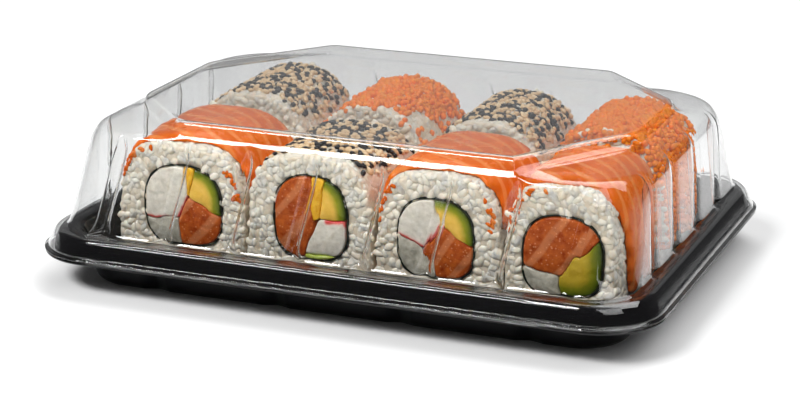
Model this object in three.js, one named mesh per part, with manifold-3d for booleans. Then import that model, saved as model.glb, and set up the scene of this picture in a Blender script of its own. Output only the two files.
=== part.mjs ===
// Takeaway sushi tray: a black thermoformed base, a clear ribbed lid that snaps over its rim,
// and eight inside-out rolls packed in two rows of four.
// Millimetres, +Z up. The long side runs along X, the front is at -Y, and the origin is the
// middle of the underside.
import * as THREE from "three";
import { mergeVertices } from "three/addons/utils/BufferGeometryUtils.js";
import Module from "manifold-3d";

const wasm = await Module();
wasm.setup();

// ---------------------------------------------------------------- driving dimensions
const LENGTH = 185; // over the outer lip, along X
const WIDTH = 134; // over the outer lip, along Y
const HEIGHT = 50; // underside of the base to the top of the lid
const GAP = 0.3; // clearance between pieces that touch
const RIM_HEIGHT = 16; // top of the tray's rolled rim
const LIP_HEIGHT = 10.3; // top of the tray's outer lip
const FLOOR = 1.2; // inside floor of the tray
const LID_WALL = 0.5; // thickness of the clear sheet
const BASE_INSET_X = 12.2; // lip edge in to the foot of the tray
const BASE_INSET_Y = 12.6;
const SHOULDER_HEIGHT = 41; // where the lid's ribbed wall ends
const STEP_HEIGHT = 46.6; // foot of the short wall under the raised top panel
const PANEL_HALF_X = 72.6; // raised octagonal panel, half sizes
const PANEL_HALF_Y = 49.6;
const LONG_RIBS = { count: 8, pitch: 19.6, offset: -1.2, lean: 4 }; // lid grooves, long wall
const SHORT_RIBS = { count: 4, pitch: 22.2, offset: -2, lean: 1 }; // lid grooves, short wall
const ROLL_HEIGHT = 40; // rice of one roll, bottom to top
const ROLL_LENGTH = 39.5; // from cut face to cut face
const NORI = 0.5; // thickness of the seaweed sheet
const SLICE = 2.1; // thickness of a draped salmon slice
const BUMP = 0.45; // how far rice grains stand out or sink in
const SEED = 11; // start of the random draws

const HALF_X = LENGTH / 2;
const HALF_Y = WIDTH / 2;
const CORNER_STEPS = 4;
const NEARLY = 1e-6;

// ---------------------------------------------------------------- finishes
function finish(color, roughness, options = {}) {
  return new THREE.MeshStandardMaterial({ color, roughness, metalness: 0, ...options });
}

const FINISH = {
  base: finish(0x0b0b0c, 0.25),
  lid: finish(0xe8ecee, 0.08, { transparent: true, opacity: 0.3 }),
  rice: finish(0xe4dfd2, 0.5),
  nori: finish(0x161a12, 0.6),
  salmon: finish(0xd8642e, 0.35),
  avocado: finish(0xc3c552, 0.45),
  surimi: finish(0xe9e4df, 0.5),
  pickle: finish(0xe0b42c, 0.4),
  cream: finish(0xd9dcd8, 0.45),
  cucumber: finish(0xaab13c, 0.45),
};

// ---------------------------------------------------------------- helpers
// Repeatable random numbers from 0 to 1.
function randomFrom(seed) {
  let state = seed >>> 0;
  return () => {
    state = (state + 0x6d2b79f5) >>> 0;
    let mixed = Math.imul(state ^ (state >>> 15), 1 | state);
    mixed = (mixed + Math.imul(mixed ^ (mixed >>> 7), 61 | mixed)) ^ mixed;
    return ((mixed ^ (mixed >>> 14)) >>> 0) / 4294967296;
  };
}

// Triangles that join two loops, taken in the order of their points' places around the loop.
// Where two places are level, the shorter of the two possible edges is drawn.
function bridge(first, second, firstStart, secondStart, faces) {
  const at = (loop, index) => loop[index % loop.length];
  const placeOf = (loop, index) => at(loop, index).place + Math.floor(index / loop.length);
  const stepsFirst = (i, j) => {
    if (i >= first.length || j >= second.length) return i < first.length;
    const lead = placeOf(first, i + 1) - placeOf(second, j + 1);
    if (Math.abs(lead) > NEARLY) return lead < 0;
    const viaFirst = at(first, i + 1).distanceTo(at(second, j));
    return viaFirst <= at(first, i).distanceTo(at(second, j + 1));
  };
  let i = 0;
  let j = 0;
  while (i < first.length || j < second.length) {
    const p = firstStart + (i % first.length);
    const q = secondStart + (j % second.length);
    if (stepsFirst(i, j)) {
      faces.push(p, firstStart + ((i + 1) % first.length), q);
      i += 1;
    } else {
      faces.push(p, secondStart + ((j + 1) % second.length), q);
      j += 1;
    }
  }
}

// A flat cap over a loop, turned to face along +Z, or along -Z when it is the first one.
function cap(loop, start, facesDown, faces) {
  const outline = loop.map((point) => new THREE.Vector2(point.x, point.y));
  for (const [i, j, k] of THREE.ShapeUtils.triangulateShape(outline, [])) {
    const area = THREE.ShapeUtils.area([outline[i], outline[j], outline[k]]);
    const keep = area > 0 !== facesDown;
    faces.push(start + i, start + (keep ? j : k), start + (keep ? k : j));
  }
}

// A closed body through a row of anticlockwise loops. Its ends are capped, or joined to each
// other when the row is closed.
function loft(loops, closed = false) {
  const starts = [];
  const points = [];
  for (const loop of loops) {
    starts.push(points.length);
    points.push(...loop);
  }
  const faces = [];
  const joins = closed ? loops.length : loops.length - 1;
  for (let i = 0; i < joins; i++) {
    const next = (i + 1) % loops.length;
    bridge(loops[i], loops[next], starts[i], starts[next], faces);
  }
  if (!closed) {
    const last = loops.length - 1;
    cap(loops[0], starts[0], true, faces);
    cap(loops[last], starts[last], false, faces);
  }
  const geometry = new THREE.BufferGeometry().setFromPoints(points);
  geometry.setIndex(faces);
  return geometry;
}

function loopPoint(x, y, z, place) {
  return Object.assign(new THREE.Vector3(x, y, z), { place });
}

// Places around the tray or the lid, from 0 to 1: the notches of a side share its middle, and
// the points of a corner lie close together where two sides meet.
function notchPlace(turn, index, count, part) {
  return (turn + 0.1 + (0.8 * (index + 0.5 + 0.3 * part)) / count) / 4;
}

function cornerPlace(turn, share) {
  return (turn + 0.94 + 0.12 * share) / 4;
}

// A point so far out from the middle on one of the four sides, which are numbered
// anticlockwise from the right one, and so far along that side.
function onSide(side, out, along, z, place) {
  const turn = (side * Math.PI) / 2;
  const [cos, sin] = [Math.round(Math.cos(turn)), Math.round(Math.sin(turn))];
  return loopPoint(cos * out - sin * along, sin * out + cos * along, z, place);
}

// Distance from the middle out to a side with rounded ends, at a place along it.
function sideReach(reach, half, radius, along) {
  const past = Math.abs(along) - (half - radius);
  return past > 0 ? reach - radius + Math.sqrt(radius ** 2 - past ** 2) : reach;
}

// One level of the tray or the lid: a rounded rectangle with optional V notches in its sides.
function level(halfX, halfY, radius, z, notches = []) {
  const CLEAR = 0.4;
  const points = [];
  for (let side = 0; side < 4; side++) {
    const reach = side % 2 ? halfY : halfX;
    const half = side % 2 ? halfX : halfY;
    const row = notches[side] ?? [];
    const nextRow = notches[(side + 1) % 4] ?? [];
    const add = (out, along, place) => points.push(onSide(side, out, along, z, place));
    row.forEach(({ centre, width, depth }, i) => {
      for (const part of width ? [-1, 0, 1] : [0]) {
        const along = centre + part * width;
        const out = sideReach(reach, half, radius, along) - (part === 0 ? depth : 0);
        add(out, along, notchPlace(side, i, row.length, part));
      }
    });
    const rowEnd = row.length ? row.at(-1).centre + row.at(-1).width + CLEAR : 0;
    const nextStart = nextRow.length ? nextRow[0].centre - nextRow[0].width - CLEAR : 0;
    for (let i = 0; i <= CORNER_STEPS; i++) {
      const swing = ((i / CORNER_STEPS) * Math.PI) / 2;
      const out = reach - radius + radius * Math.cos(swing);
      const along = half - radius + radius * Math.sin(swing);
      if (along > rowEnd && -out < nextStart) add(out, along, cornerPlace(side, i / CORNER_STEPS));
    }
  }
  return points;
}

// Evenly spaced notches along one side.
function notchRow(count, pitch, width, depth, offset = 0) {
  return Array.from({ length: count }, (_, i) => ({
    centre: offset + (i - (count - 1) / 2) * pitch,
    width,
    depth,
  }));
}

// ---------------------------------------------------------------- black base
const FLUTE_PITCH = 37.4; // upright flutes of the base, four on a long side
const SHORT_FLUTE_PITCH = 30; // and three on a short side
const FLUTE_HALF = 4.2;

// A level whose flutes have no depth still has their points, on its straight sides.
function trayLevel(insetX, insetY, radius, z, flute = null) {
  const long = flute === null ? [] : notchRow(4, FLUTE_PITCH, FLUTE_HALF, flute);
  const short = flute === null ? [] : notchRow(3, SHORT_FLUTE_PITCH, FLUTE_HALF, flute);
  return level(HALF_X - insetX, HALF_Y - insetY, radius, z, [short, long, short, long]);
}

function tray() {
  const x = BASE_INSET_X;
  const y = BASE_INSET_Y;
  const outside = [
    trayLevel(x + 1, y + 1, 12.5, 0, 1.2),
    trayLevel(x - 0.2, y - 0.2, 13.5, 1.2, 1.6),
    trayLevel(x - 2.6, y - 2.6, 15, LIP_HEIGHT - 1.6, 0.8),
    trayLevel(1, 1, 18, LIP_HEIGHT - 1, 0),
    trayLevel(0.2, 0.2, 18.6, LIP_HEIGHT - 0.6),
    trayLevel(0.2, 0.2, 18.6, LIP_HEIGHT),
    trayLevel(1.8, 1.8, 18.2, LIP_HEIGHT - 0.1),
    trayLevel(2.1, 2.1, 18.1, RIM_HEIGHT - 1.3),
    trayLevel(2.5, 2.5, 18, RIM_HEIGHT - 0.4),
    trayLevel(3.4, 3.4, 17.4, RIM_HEIGHT),
  ];
  const inside = [
    trayLevel(7.4, 7.4, 14.4, RIM_HEIGHT),
    trayLevel(8.3, 8.3, 13.8, RIM_HEIGHT - 0.9),
    trayLevel(x + 1.6, y + 1.6, 12, FLOOR + 1.2),
    trayLevel(x + 2.6, y + 2.6, 11, FLOOR),
  ];
  return loft([...outside, ...inside]);
}

// ---------------------------------------------------------------- clear lid
// Grooves of the wall at one height, given as a share of the way up the wall.
function ribs(share, width, longDepth, shortDepth) {
  const row = ({ count, pitch, offset, lean }, depth) =>
    notchRow(count, pitch, width, depth, offset + lean * share);
  const long = row(LONG_RIBS, longDepth);
  const short = row(SHORT_RIBS, shortDepth);
  return [short, long, short, long];
}

// How far the corners of the raised octagonal panel are cut back, anticlockwise from the
// back right one. Two opposite corners are cut further than the other two.
const PANEL_CUTS = [
  { x: 26, y: 26 },
  { x: 27, y: 34 },
  { x: 23, y: 24 },
  { x: 23, y: 35 },
];
const PANEL_CORNER = 1.6; // each corner becomes two points, this far from it

// Points of the panel's edge on one side that face the tops of the wall's grooves.
function facingGrooves(side, reach, start, end, z) {
  const margin = 2 * PANEL_CORNER;
  const points = ribs(1, 0, 0, 0)[side].map(({ centre }, i, row) => {
    const onEdge = centre > start + margin && centre < end - margin;
    return onEdge && onSide(side, reach, centre, z, notchPlace(side, i, row.length, 0));
  });
  return points.filter(Boolean);
}

function octagon(grow, z) {
  const corners = [];
  const facing = [];
  for (let side = 0; side < 4; side++) {
    const reach = (side % 2 ? PANEL_HALF_Y : PANEL_HALF_X) + grow;
    const half = (side % 2 ? PANEL_HALF_X : PANEL_HALF_Y) + grow;
    const key = side % 2 ? "x" : "y";
    const start = PANEL_CUTS[(side + 3) % 4][key] - half;
    const end = half - PANEL_CUTS[side][key];
    corners.push(onSide(side, reach, start, z), onSide(side, reach, end, z));
    facing.push(facingGrooves(side, reach, start, end, z), []);
  }
  return corners.flatMap((corner, i) => {
    const cut = [corners.at(i - 1), corners[(i + 1) % corners.length]].map((other, after) => {
      const { x, y } = corner.clone().lerp(other, PANEL_CORNER / corner.distanceTo(other));
      const share = (i % 2 ? 0.1 : 0.9) + (after ? 0.05 : -0.05);
      return loopPoint(x, y, z, cornerPlace(Math.floor((i - 1) / 2), share));
    });
    return [...cut, ...facing[i]];
  });
}

// The lid's skin from the flange up to the panel. The inner skin is the same, one sheet
// thickness in and down.
function lidSkin(inward) {
  const more = (size, share) => (size ? size + share * inward : 0);
  const wall = (halfX, halfY, radius, z, share, width, longDepth, shortDepth) =>
    level(
      halfX - inward,
      halfY - inward,
      radius,
      z - inward,
      ribs(share, more(width, 0.5), more(longDepth, 0.6), more(shortDepth, 0.6)),
    );
  const foot = RIM_HEIGHT + GAP + LID_WALL;
  return [
    wall(HALF_X - 6.6, HALF_Y - 5.3, 13.4, foot, 0, 4, 3.4, 1.8),
    wall(HALF_X - 7.2, HALF_Y - 6.2, 13.6, foot + 1.8, 0.06, 1.9, 2.6, 1.6),
    wall(HALF_X - 8.8, HALF_Y - 12.6, 20, SHOULDER_HEIGHT - 1, 0.95, 1.9, 4, 3.2),
    wall(HALF_X - 9.8, HALF_Y - 13.8, 20, SHOULDER_HEIGHT + 1.6, 1, 1.5, 2.6, 2.2),
    wall(HALF_X - 12.4, HALF_Y - 14.8, 18, SHOULDER_HEIGHT + 4, 1, 0, 0, 0),
    octagon(1.4 - inward, STEP_HEIGHT - inward),
    octagon(0.3 - inward, HEIGHT - 0.7 - inward),
    octagon(-0.6 - inward, HEIGHT - inward),
  ];
}

function lid() {
  const edge = (inset, radius, z, notches) => level(HALF_X - inset, HALF_Y - inset, radius, z, notches);
  const besideSkin = ribs(0, 4, 0, 0); // points that face the feet of the grooves
  const hemFoot = LIP_HEIGHT + GAP;
  const under = RIM_HEIGHT + GAP;
  return loft([
    ...lidSkin(LID_WALL).reverse(),
    edge(3.2, 17.4, under, besideSkin),
    edge(2.1, 18.2, under - 0.8),
    edge(1.7, 18.4, hemFoot + 0.7),
    edge(1.2, 18.4, hemFoot),
    edge(0, 18.8, hemFoot),
    edge(0, 18.8, hemFoot + 0.5),
    edge(1.1, 18.5, hemFoot + 1.1),
    edge(1.5, 18.5, under - 0.6),
    edge(2.6, 17.6, under + LID_WALL, besideSkin),
    ...lidSkin(0),
  ]);
}

// ---------------------------------------------------------------- rolls
// A roll is drawn in its cut face, u to the right and v up, and runs along its axis w from
// the back face to the front face. Turned about X, w points to the front of the tray.

// Closed outline with its own roundness above and below the middle, a little wider below, as
// evenly spaced points that start at the bottom middle and run anticlockwise.
const OUTLINE_SAMPLES = 96;

function outline(halfU, halfV, topPower, bottomPower, count, splay = 0) {
  const dense = [];
  for (let i = 0; i < OUTLINE_SAMPLES; i++) {
    const turn = ((i / OUTLINE_SAMPLES) * 2 - 0.5) * Math.PI;
    const [cos, sin] = [Math.cos(turn), Math.sin(turn)];
    const power = 2 / (sin > 0 ? topPower : bottomPower);
    const v = Math.sign(sin) * Math.abs(sin) ** power;
    const u = Math.sign(cos) * Math.abs(cos) ** power * (1 - splay * v);
    dense.push(new THREE.Vector3(halfU * u, halfV * v, 0));
  }
  const curve = new THREE.CatmullRomCurve3(dense, true);
  curve.arcLengthDivisions = 400;
  return curve.getSpacedPoints(count).slice(0, count);
}

// Outside of a roll's rice, drawn in by the given amount.
function riceOutline(roll, drawnIn, count) {
  const halfU = roll.halfWidth - drawnIn;
  return outline(halfU, roll.height / 2 - drawnIn, roll.arch, 4.6, count, 0.05);
}

// Height of a roll's middle above the underside of the base.
function middleOf(roll) {
  return FLOOR + GAP + 0.2 + roll.height / 2;
}

function placeLoop(points, u, v, w) {
  return points.map((point, i) => loopPoint(point.x + u, point.y + v, w, i / points.length));
}

// Stands a body drawn in roll coordinates into the tray.
function stand(geometry, roll) {
  return geometry.rotateX(Math.PI / 2).translate(roll.x, roll.front + roll.length, 0);
}

function core(roll, grow, count) {
  return outline(roll.core.halfU + grow, roll.core.halfV + grow, 2.5, 3.4, count);
}

// The rice sleeve, its outside and cut faces covered in bumps the size of grains.
const RICE_AROUND = 26;
const RICE_ALONG = 6;

function riceSleeve(roll, random) {
  const middle = middleOf(roll);
  const outer = riceOutline(roll, BUMP, RICE_AROUND);
  const rough = (points, w, lift, scale = 1) =>
    placeLoop(
      points.map((point) => point.clone().multiplyScalar(scale + (random() - 0.5) * 2 * (BUMP / 19))),
      0,
      middle,
      w,
    ).map((point) => Object.assign(point, { z: point.z + lift * (random() - 0.5) * 2 * BUMP }));
  const hole = core(roll, GAP, RICE_AROUND);
  const between = outer.map((point, i) =>
    point.clone().lerp(hole[i].clone().add(new THREE.Vector3(roll.core.u, roll.core.v - middle, 0)), 0.5),
  );
  const loops = [rough(outer, 0, 0, 0.965)];
  for (let i = 1; i < RICE_ALONG; i++) loops.push(rough(outer, (roll.length * i) / RICE_ALONG, 1));
  loops.push(rough(outer, roll.length, 0, 0.965));
  loops.push(rough(between, roll.length, 1));
  loops.push(placeLoop(hole, roll.core.u, roll.core.v, roll.length));
  loops.push(placeLoop(hole, roll.core.u, roll.core.v, 0));
  loops.push(rough(between, 0, 1));
  return loft(loops, true);
}

// Solid for cutting and joining, from a geometry's merged positions.
function solidOf(geometry) {
  const bare = new THREE.BufferGeometry();
  bare.setAttribute("position", geometry.getAttribute("position"));
  bare.setIndex(geometry.getIndex());
  const merged = mergeVertices(bare, 1e-4);
  return new wasm.Manifold(
    new wasm.Mesh({
      numProp: 3,
      vertProperties: new Float32Array(merged.getAttribute("position").array),
      triVerts: new Uint32Array(merged.getIndex().array),
    }),
  );
}

function geometryOf(solid) {
  const mesh = solid.getMesh();
  const geometry = new THREE.BufferGeometry();
  geometry.setAttribute("position", new THREE.BufferAttribute(mesh.vertProperties, 3));
  geometry.setIndex(new THREE.BufferAttribute(mesh.triVerts, 1));
  return geometry;
}

// Seeds or fish eggs fused to the top of the rice, one to each cell of a slanted grid.
const SUNK = 0.985; // how far out a grain's middle lies, as a share of the rice surface

function sprinkled(geometry, roll, random) {
  const { round, size, across, along } = roll.sprinkle;
  const middle = middleOf(roll);
  const path = riceOutline(roll, BUMP, 200);
  let solid = solidOf(geometry);
  for (let row = 0; row < along; row++) {
    for (let column = 0; column < across; column++) {
      const spread = (column + 0.5 + 0.25 * (row % 2 ? 1 : -1)) / across;
      const turn = 0.385 + 0.23 * spread;
      const point = path[Math.round(turn * 200) % 200];
      const w = roll.length * ((row + 0.5 + 0.3 * (random() - 0.5)) / along) * 0.9 + roll.length * 0.05;
      const grain = round ? new THREE.IcosahedronGeometry(1) : new THREE.OctahedronGeometry(1);
      grain.scale(size[0], size[1], size[2]);
      grain.rotateY(random() * Math.PI);
      grain.rotateZ(Math.atan2(point.y, point.x) - Math.PI / 2);
      grain.translate(point.x * SUNK, point.y * SUNK + middle, w);
      solid = solid.add(solidOf(grain));
    }
  }
  return geometryOf(solid.simplify(0.05));
}

const NORI_AROUND = 20; // sides of the seaweed sheet

function noriSheet(roll) {
  const sheet = new THREE.Shape(core(roll, 0, NORI_AROUND));
  sheet.holes.push(new THREE.Path(core(roll, -NORI, NORI_AROUND)));
  const geometry = new THREE.ExtrudeGeometry(sheet, { depth: roll.length - 0.4, bevelEnabled: false });
  return geometry.translate(roll.core.u, roll.core.v, 0.2);
}

// The part of a convex outline on the left of the line from one point to another.
function leftOf(points, [fromU, fromV], [toU, toV]) {
  const across = new THREE.Vector2(fromV - toV, toU - fromU).normalize();
  const side = (point) => (point.x - fromU) * across.x + (point.y - fromV) * across.y - GAP / 2;
  const kept = [];
  points.forEach((point, i) => {
    const next = points[(i + 1) % points.length];
    const [here, there] = [side(point), side(next)];
    if (here >= 0) kept.push(point);
    if (here * there < 0) kept.push(point.clone().lerp(next, here / (here - there)));
  });
  return kept;
}

// One filling: the roll's inside, cut along the filling's inner edges.
function filling(roll, chain, stickOut) {
  let inside = core(roll, -NORI - GAP, 24);
  for (let i = 1; i < chain.length; i++) inside = leftOf(inside, chain[i - 1], chain[i]);
  const geometry = new THREE.ExtrudeGeometry(new THREE.Shape(inside), {
    depth: roll.length + 2 * stickOut,
    bevelEnabled: false,
  });
  return geometry.translate(roll.core.u, roll.core.v, -stickOut);
}

// A raw salmon slice laid over the rice, from one place of the outline to another.
function drapedSlice(roll, random) {
  const middle = middleOf(roll);
  const path = riceOutline(roll, 0, 240);
  const { from, to, inset } = roll.slice;
  const STEPS = 11;
  const STATIONS = 6;
  const loops = [];
  for (let station = 0; station <= STATIONS; station++) {
    const share = station / STATIONS;
    const thin = station === 0 || station === STATIONS ? 0.45 : 1;
    const start = from + 0.012 * (random() - 0.5);
    const end = to + 0.012 * (random() - 0.5);
    const w = inset[0] + (roll.length - inset[0] - inset[1]) * share;
    const outside = [];
    const inner = [];
    for (let i = 0; i <= STEPS; i++) {
      const turn = start + ((end - start) * i) / STEPS;
      const point = path[Math.round(turn * 240) % 240];
      const out = new THREE.Vector3(point.x / roll.halfWidth ** 2, point.y / (roll.height / 2) ** 2, 0);
      out.normalize();
      const taper = i === 0 || i === STEPS ? 0.4 : thin;
      const thick = SLICE * taper * (0.94 + 0.12 * random());
      const wave = 0.5 * Math.sin(9 * turn + 2 * share) * (thin < 1 ? 1 : 0);
      const lift = GAP + 0.25;
      outside.push(point.clone().addScaledVector(out, lift + thick).setZ(wave));
      inner.push(point.clone().addScaledVector(out, lift).setZ(wave));
    }
    const loop = [...outside, ...inner.reverse()];
    loops.push(
      loop.map((point, i) => loopPoint(point.x, point.y + middle, w + point.z, i / loop.length)),
    );
  }
  return loft(loops);
}

// Inner edges of the fillings in the cut face. Each chain of points [u, v] keeps its filling
// on the left, and the seaweed closes the rest.
const FILLINGS = {
  crab: {
    surimi: [[-12, -4.4], [-1.8, -4], [2.1, 3.2], [0.2, 12]],
    pickle: [[0.2, 12], [2.1, 3.4], [2.7, 3.4], [4.1, 12]],
    avocado: [[4.1, 12], [2.5, 3.2], [11.6, -2]],
    salmon: [[11.6, -2], [2.3, 3.2], [-1.8, -4], [-0.5, -12]],
    cream: [[-0.5, -12], [-1.8, -4], [-12, -4.4]],
  },
  salmon: {
    salmon: [[-2.2, -12], [0.9, -1], [0, 12]],
    pickle: [[0, 12], [0.9, -1], [3, -0.8], [4.7, 12]],
    avocado: [[4.7, 12], [3, -0.8], [12, 0.2]],
    surimi: [[12, 0.2], [3, -0.8], [0.45, -3.3], [-1.75, -10.6], [10, -10.6]],
    cucumber: [[10, -10.6], [-1.7, -10.6], [-2, -12]],
  },
  mixed: {
    surimi: [[-12, 0.9], [-2.8, -2.9], [1.4, 3.9], [-0.7, 12]],
    avocado: [[-0.7, 12], [1.4, 3.9], [12, -1.8]],
    salmon: [[12, -1.8], [1.4, 3.9], [-2.8, -2.9], [0, -12]],
    cream: [[0, -12], [-2.8, -2.9], [-12, 0.9]],
  },
  belly: {
    salmon: [[-12, -3.4], [-1.4, -5.6], [10.6, 5.9]],
    avocado: [[10.6, 5.9], [-1.4, -5.6], [0.6, -12]],
    cream: [[0.6, -12], [-1.4, -5.6], [-12, -3.4]],
  },
};

const SESAME = { round: false, size: [1.8, 0.8, 1.1], across: 5, along: 4 };
const ROE = { round: true, size: [1.1, 1.1, 1.1], across: 4, along: 5 };
const FRONT = -46; // cut faces of the front row
const BACK = 4; // front cut faces of the back row

// The eight rolls: the middle of each, its half width, how square its arch is, and where its
// seaweed lies. Slices run over the outline from one share of its length to another.
const ROLLS = [
  {
    name: "roll_1", x: -52.1, front: FRONT, halfWidth: 19.7, arch: 3.2, filling: "crab",
    core: { u: 1.3, v: 23.9, halfU: 12.3, halfV: 12 },
    slice: { from: 0.31, to: 0.64, inset: [1, 2.4] },
  },
  {
    name: "roll_2", x: -12, front: FRONT, halfWidth: 19, arch: 3.2, filling: "salmon",
    core: { u: 0.9, v: 24.95, halfU: 11.3, halfV: 12.4 }, height: 40.8, sprinkle: SESAME,
  },
  {
    name: "roll_3", x: 26.3, front: FRONT, halfWidth: 18, arch: 3.2, filling: "mixed",
    core: { u: -0.1, v: 23.2, halfU: 11.4, halfV: 11.7 },
    slice: { from: 0.31, to: 0.68, inset: [1, 2.2] },
  },
  {
    name: "roll_4", x: 61.4, front: FRONT, halfWidth: 15.8, arch: 3.2, filling: "belly",
    core: { u: 1.15, v: 22.6, halfU: 11.55, halfV: 11.5 },
    slice: { from: 0.165, to: 0.63, inset: [1, 3] },
  },
  {
    name: "roll_5", x: -53.2, front: BACK, halfWidth: 18.8, arch: 2.4, filling: "salmon",
    core: { u: 0.5, v: 24, halfU: 11.8, halfV: 12 }, height: 42.6, sprinkle: SESAME,
  },
  {
    name: "roll_6", x: -15, front: BACK, halfWidth: 18.3, arch: 2.4, filling: "crab",
    core: { u: 0, v: 24, halfU: 11.6, halfV: 12 }, height: 42, sprinkle: ROE,
  },
  {
    name: "roll_7", x: 22.2, front: BACK, halfWidth: 18, arch: 2.4, filling: "salmon",
    core: { u: 0.4, v: 24, halfU: 11.6, halfV: 12 }, height: 41.2, sprinkle: SESAME,
  },
  {
    name: "roll_8", x: 59, front: BACK, halfWidth: 17.8, arch: 2.6, filling: "mixed",
    core: { u: -0.4, v: 24, halfU: 11.4, halfV: 11.8 }, height: 42, sprinkle: ROE,
  },
].map((roll) => ({ length: ROLL_LENGTH, height: ROLL_HEIGHT, ...roll }));

// ---------------------------------------------------------------- assembly
function piece(name, geometry, material) {
  const mesh = new THREE.Mesh(geometry, material);
  mesh.name = name;
  geometry.computeVertexNormals();
  return mesh;
}

function buildRoll(roll, index) {
  const group = new THREE.Group();
  const random = randomFrom(SEED + 101 * index);
  const add = (part, geometry, material) =>
    group.add(piece(`${roll.name}_${part}`, stand(geometry, roll), material));
  const rice = riceSleeve(roll, random);
  add("rice", roll.sprinkle ? sprinkled(rice, roll, random) : rice, FINISH.rice);
  add("nori", noriSheet(roll), FINISH.nori);
  for (const [kind, chain] of Object.entries(FILLINGS[roll.filling])) {
    add(kind, filling(roll, chain, 0.3 * random()), FINISH[kind]);
  }
  if (roll.slice) add("slice", drapedSlice(roll, random), FINISH.salmon);
  return group;
}

const sushiTray = new THREE.Group();
sushiTray.add(piece("tray", tray(), FINISH.base));
sushiTray.add(piece("lid", lid(), FINISH.lid));
ROLLS.forEach((roll, index) => sushiTray.add(buildRoll(roll, index)));

export default sushiTray;
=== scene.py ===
"""Visual model of a takeaway sushi tray: a black base, a clear ribbed lid and eight inside-out rolls.

Sizes are in millimetres until a mesh is written, the long side runs along X, the front is at
-Y and the origin is the middle of the underside.
"""

from __future__ import annotations

import logging
import math
from dataclasses import dataclass, fields
from enum import Enum
from typing import Any, Sequence

import bpy
import numpy as np
from mathutils import Matrix, Vector, noise


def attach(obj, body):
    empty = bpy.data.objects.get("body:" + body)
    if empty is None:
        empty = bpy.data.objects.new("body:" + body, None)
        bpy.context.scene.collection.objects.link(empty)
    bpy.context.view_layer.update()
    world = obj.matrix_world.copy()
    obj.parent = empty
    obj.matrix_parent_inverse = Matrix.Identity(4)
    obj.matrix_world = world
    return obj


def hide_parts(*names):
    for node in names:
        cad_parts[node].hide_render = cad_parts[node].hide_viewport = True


Array = np.ndarray
Draws = np.random.Generator
Piece = bpy.types.Object
Material = bpy.types.Material
Point = tuple[float, float]
Colour = tuple[float, float, float, float]

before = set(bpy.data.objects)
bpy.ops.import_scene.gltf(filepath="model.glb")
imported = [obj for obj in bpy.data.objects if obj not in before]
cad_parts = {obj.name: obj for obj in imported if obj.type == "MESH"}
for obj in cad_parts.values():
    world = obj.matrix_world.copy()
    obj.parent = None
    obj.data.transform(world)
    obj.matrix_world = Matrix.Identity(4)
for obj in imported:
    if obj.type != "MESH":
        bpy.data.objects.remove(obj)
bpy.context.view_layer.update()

LOG = logging.getLogger("sushi_tray")
MM = 0.001

LENGTH = 185.0
WIDTH = 134.0
HEIGHT = 50.0
GAP = 0.3
RIM_HEIGHT = 16.0
LIP_HEIGHT = 10.3
FLOOR = 1.2
SHOULDER_HEIGHT = 41.0
STEP_HEIGHT = 46.6
PANEL_HALF_X = 72.6
PANEL_HALF_Y = 49.6
ROLL_LENGTH = 39.5
NORI = 0.5
SLICE = 2.1
RICE_LIFT = 0.2
RICE_FOOT = 4.6
RICE_SPLAY = 0.05
CORE_ROUND = (2.5, 3.4)

OUTLINE_STEPS = 960
NOISE_GAIN = 1.6
TINY = 1e-9


# ---------------------------------------------------------------- mesh helpers
def deselect() -> None:
    """Leave nothing selected, so that the next operator acts on new work alone."""
    bpy.ops.object.select_all(action="DESELECT")


def tube(name: str, around: int, rings: int, ends: str = "capped") -> tuple[Piece, Array]:
    """Extrude a circle primitive ring by ring into an upright tube, ready to be shaped.

    Args:
        name: Name of the object.
        around: Vertices in a ring, a multiple of four.
        rings: Number of rings.
        ends: "capped" closes both ends, "top" the last ring, "joined" bridges last to first.

    Returns:
        The object, and the vertex numbers as an array of rings by places around.
    """
    deselect()
    bpy.ops.mesh.primitive_circle_add(vertices=around, radius=1.0, location=(0, 0, 0))
    made = bpy.context.object
    made.name = made.data.name = name
    bpy.ops.object.mode_set(mode="EDIT")
    bpy.ops.mesh.select_mode(type="EDGE")
    bpy.ops.mesh.select_all(action="SELECT")
    for _ in range(rings - 1):
        bpy.ops.mesh.extrude_region_move(TRANSFORM_OT_translate={"value": (0, 0, 1)})
    if ends == "top":
        bpy.ops.mesh.edge_face_add()
    else:
        bpy.ops.mesh.select_all(action="DESELECT")
        bpy.ops.mesh.select_non_manifold(extend=False)
        if ends == "joined":
            bpy.ops.mesh.bridge_edge_loops()
        else:
            bpy.ops.mesh.fill_holes(sides=0)
    bpy.ops.object.mode_set(mode="OBJECT")
    flat = np.empty(3 * len(made.data.vertices))
    made.data.vertices.foreach_get("co", flat)
    at = flat.reshape(-1, 3)
    ring = np.rint(at[:, 2]).astype(int)
    place = np.rint(np.arctan2(at[:, 1], at[:, 0]) / math.tau * around).astype(int) % around
    order = np.empty((rings, around), int)
    order[ring, place] = np.arange(len(at))
    return made, order


def lofted(name: str, points: Array, ends: str = "capped") -> tuple[Piece, Array]:
    """Model a smooth skin through rings of points, with its faces outwards.

    Args:
        name: Name of the object.
        points: Rings by places by (x, y, z), in millimetres.
        ends: How the ends are closed, as in tube().

    Returns:
        The object, and its vertex numbers as an array of rings by places.
    """
    made, order = tube(name, points.shape[1], len(points), ends)
    at = np.empty((order.size, 3))
    at[order.ravel()] = points.reshape(-1, 3) * MM
    made.data.vertices.foreach_set("co", at.ravel())
    made.data.update()
    outwards(made)
    smooth(made)
    return made, order


def only(made: Piece) -> None:
    """Make an object the only one selected, and the active one.

    Args:
        made: The object.
    """
    deselect()
    made.select_set(True)
    bpy.context.view_layer.objects.active = made


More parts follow.
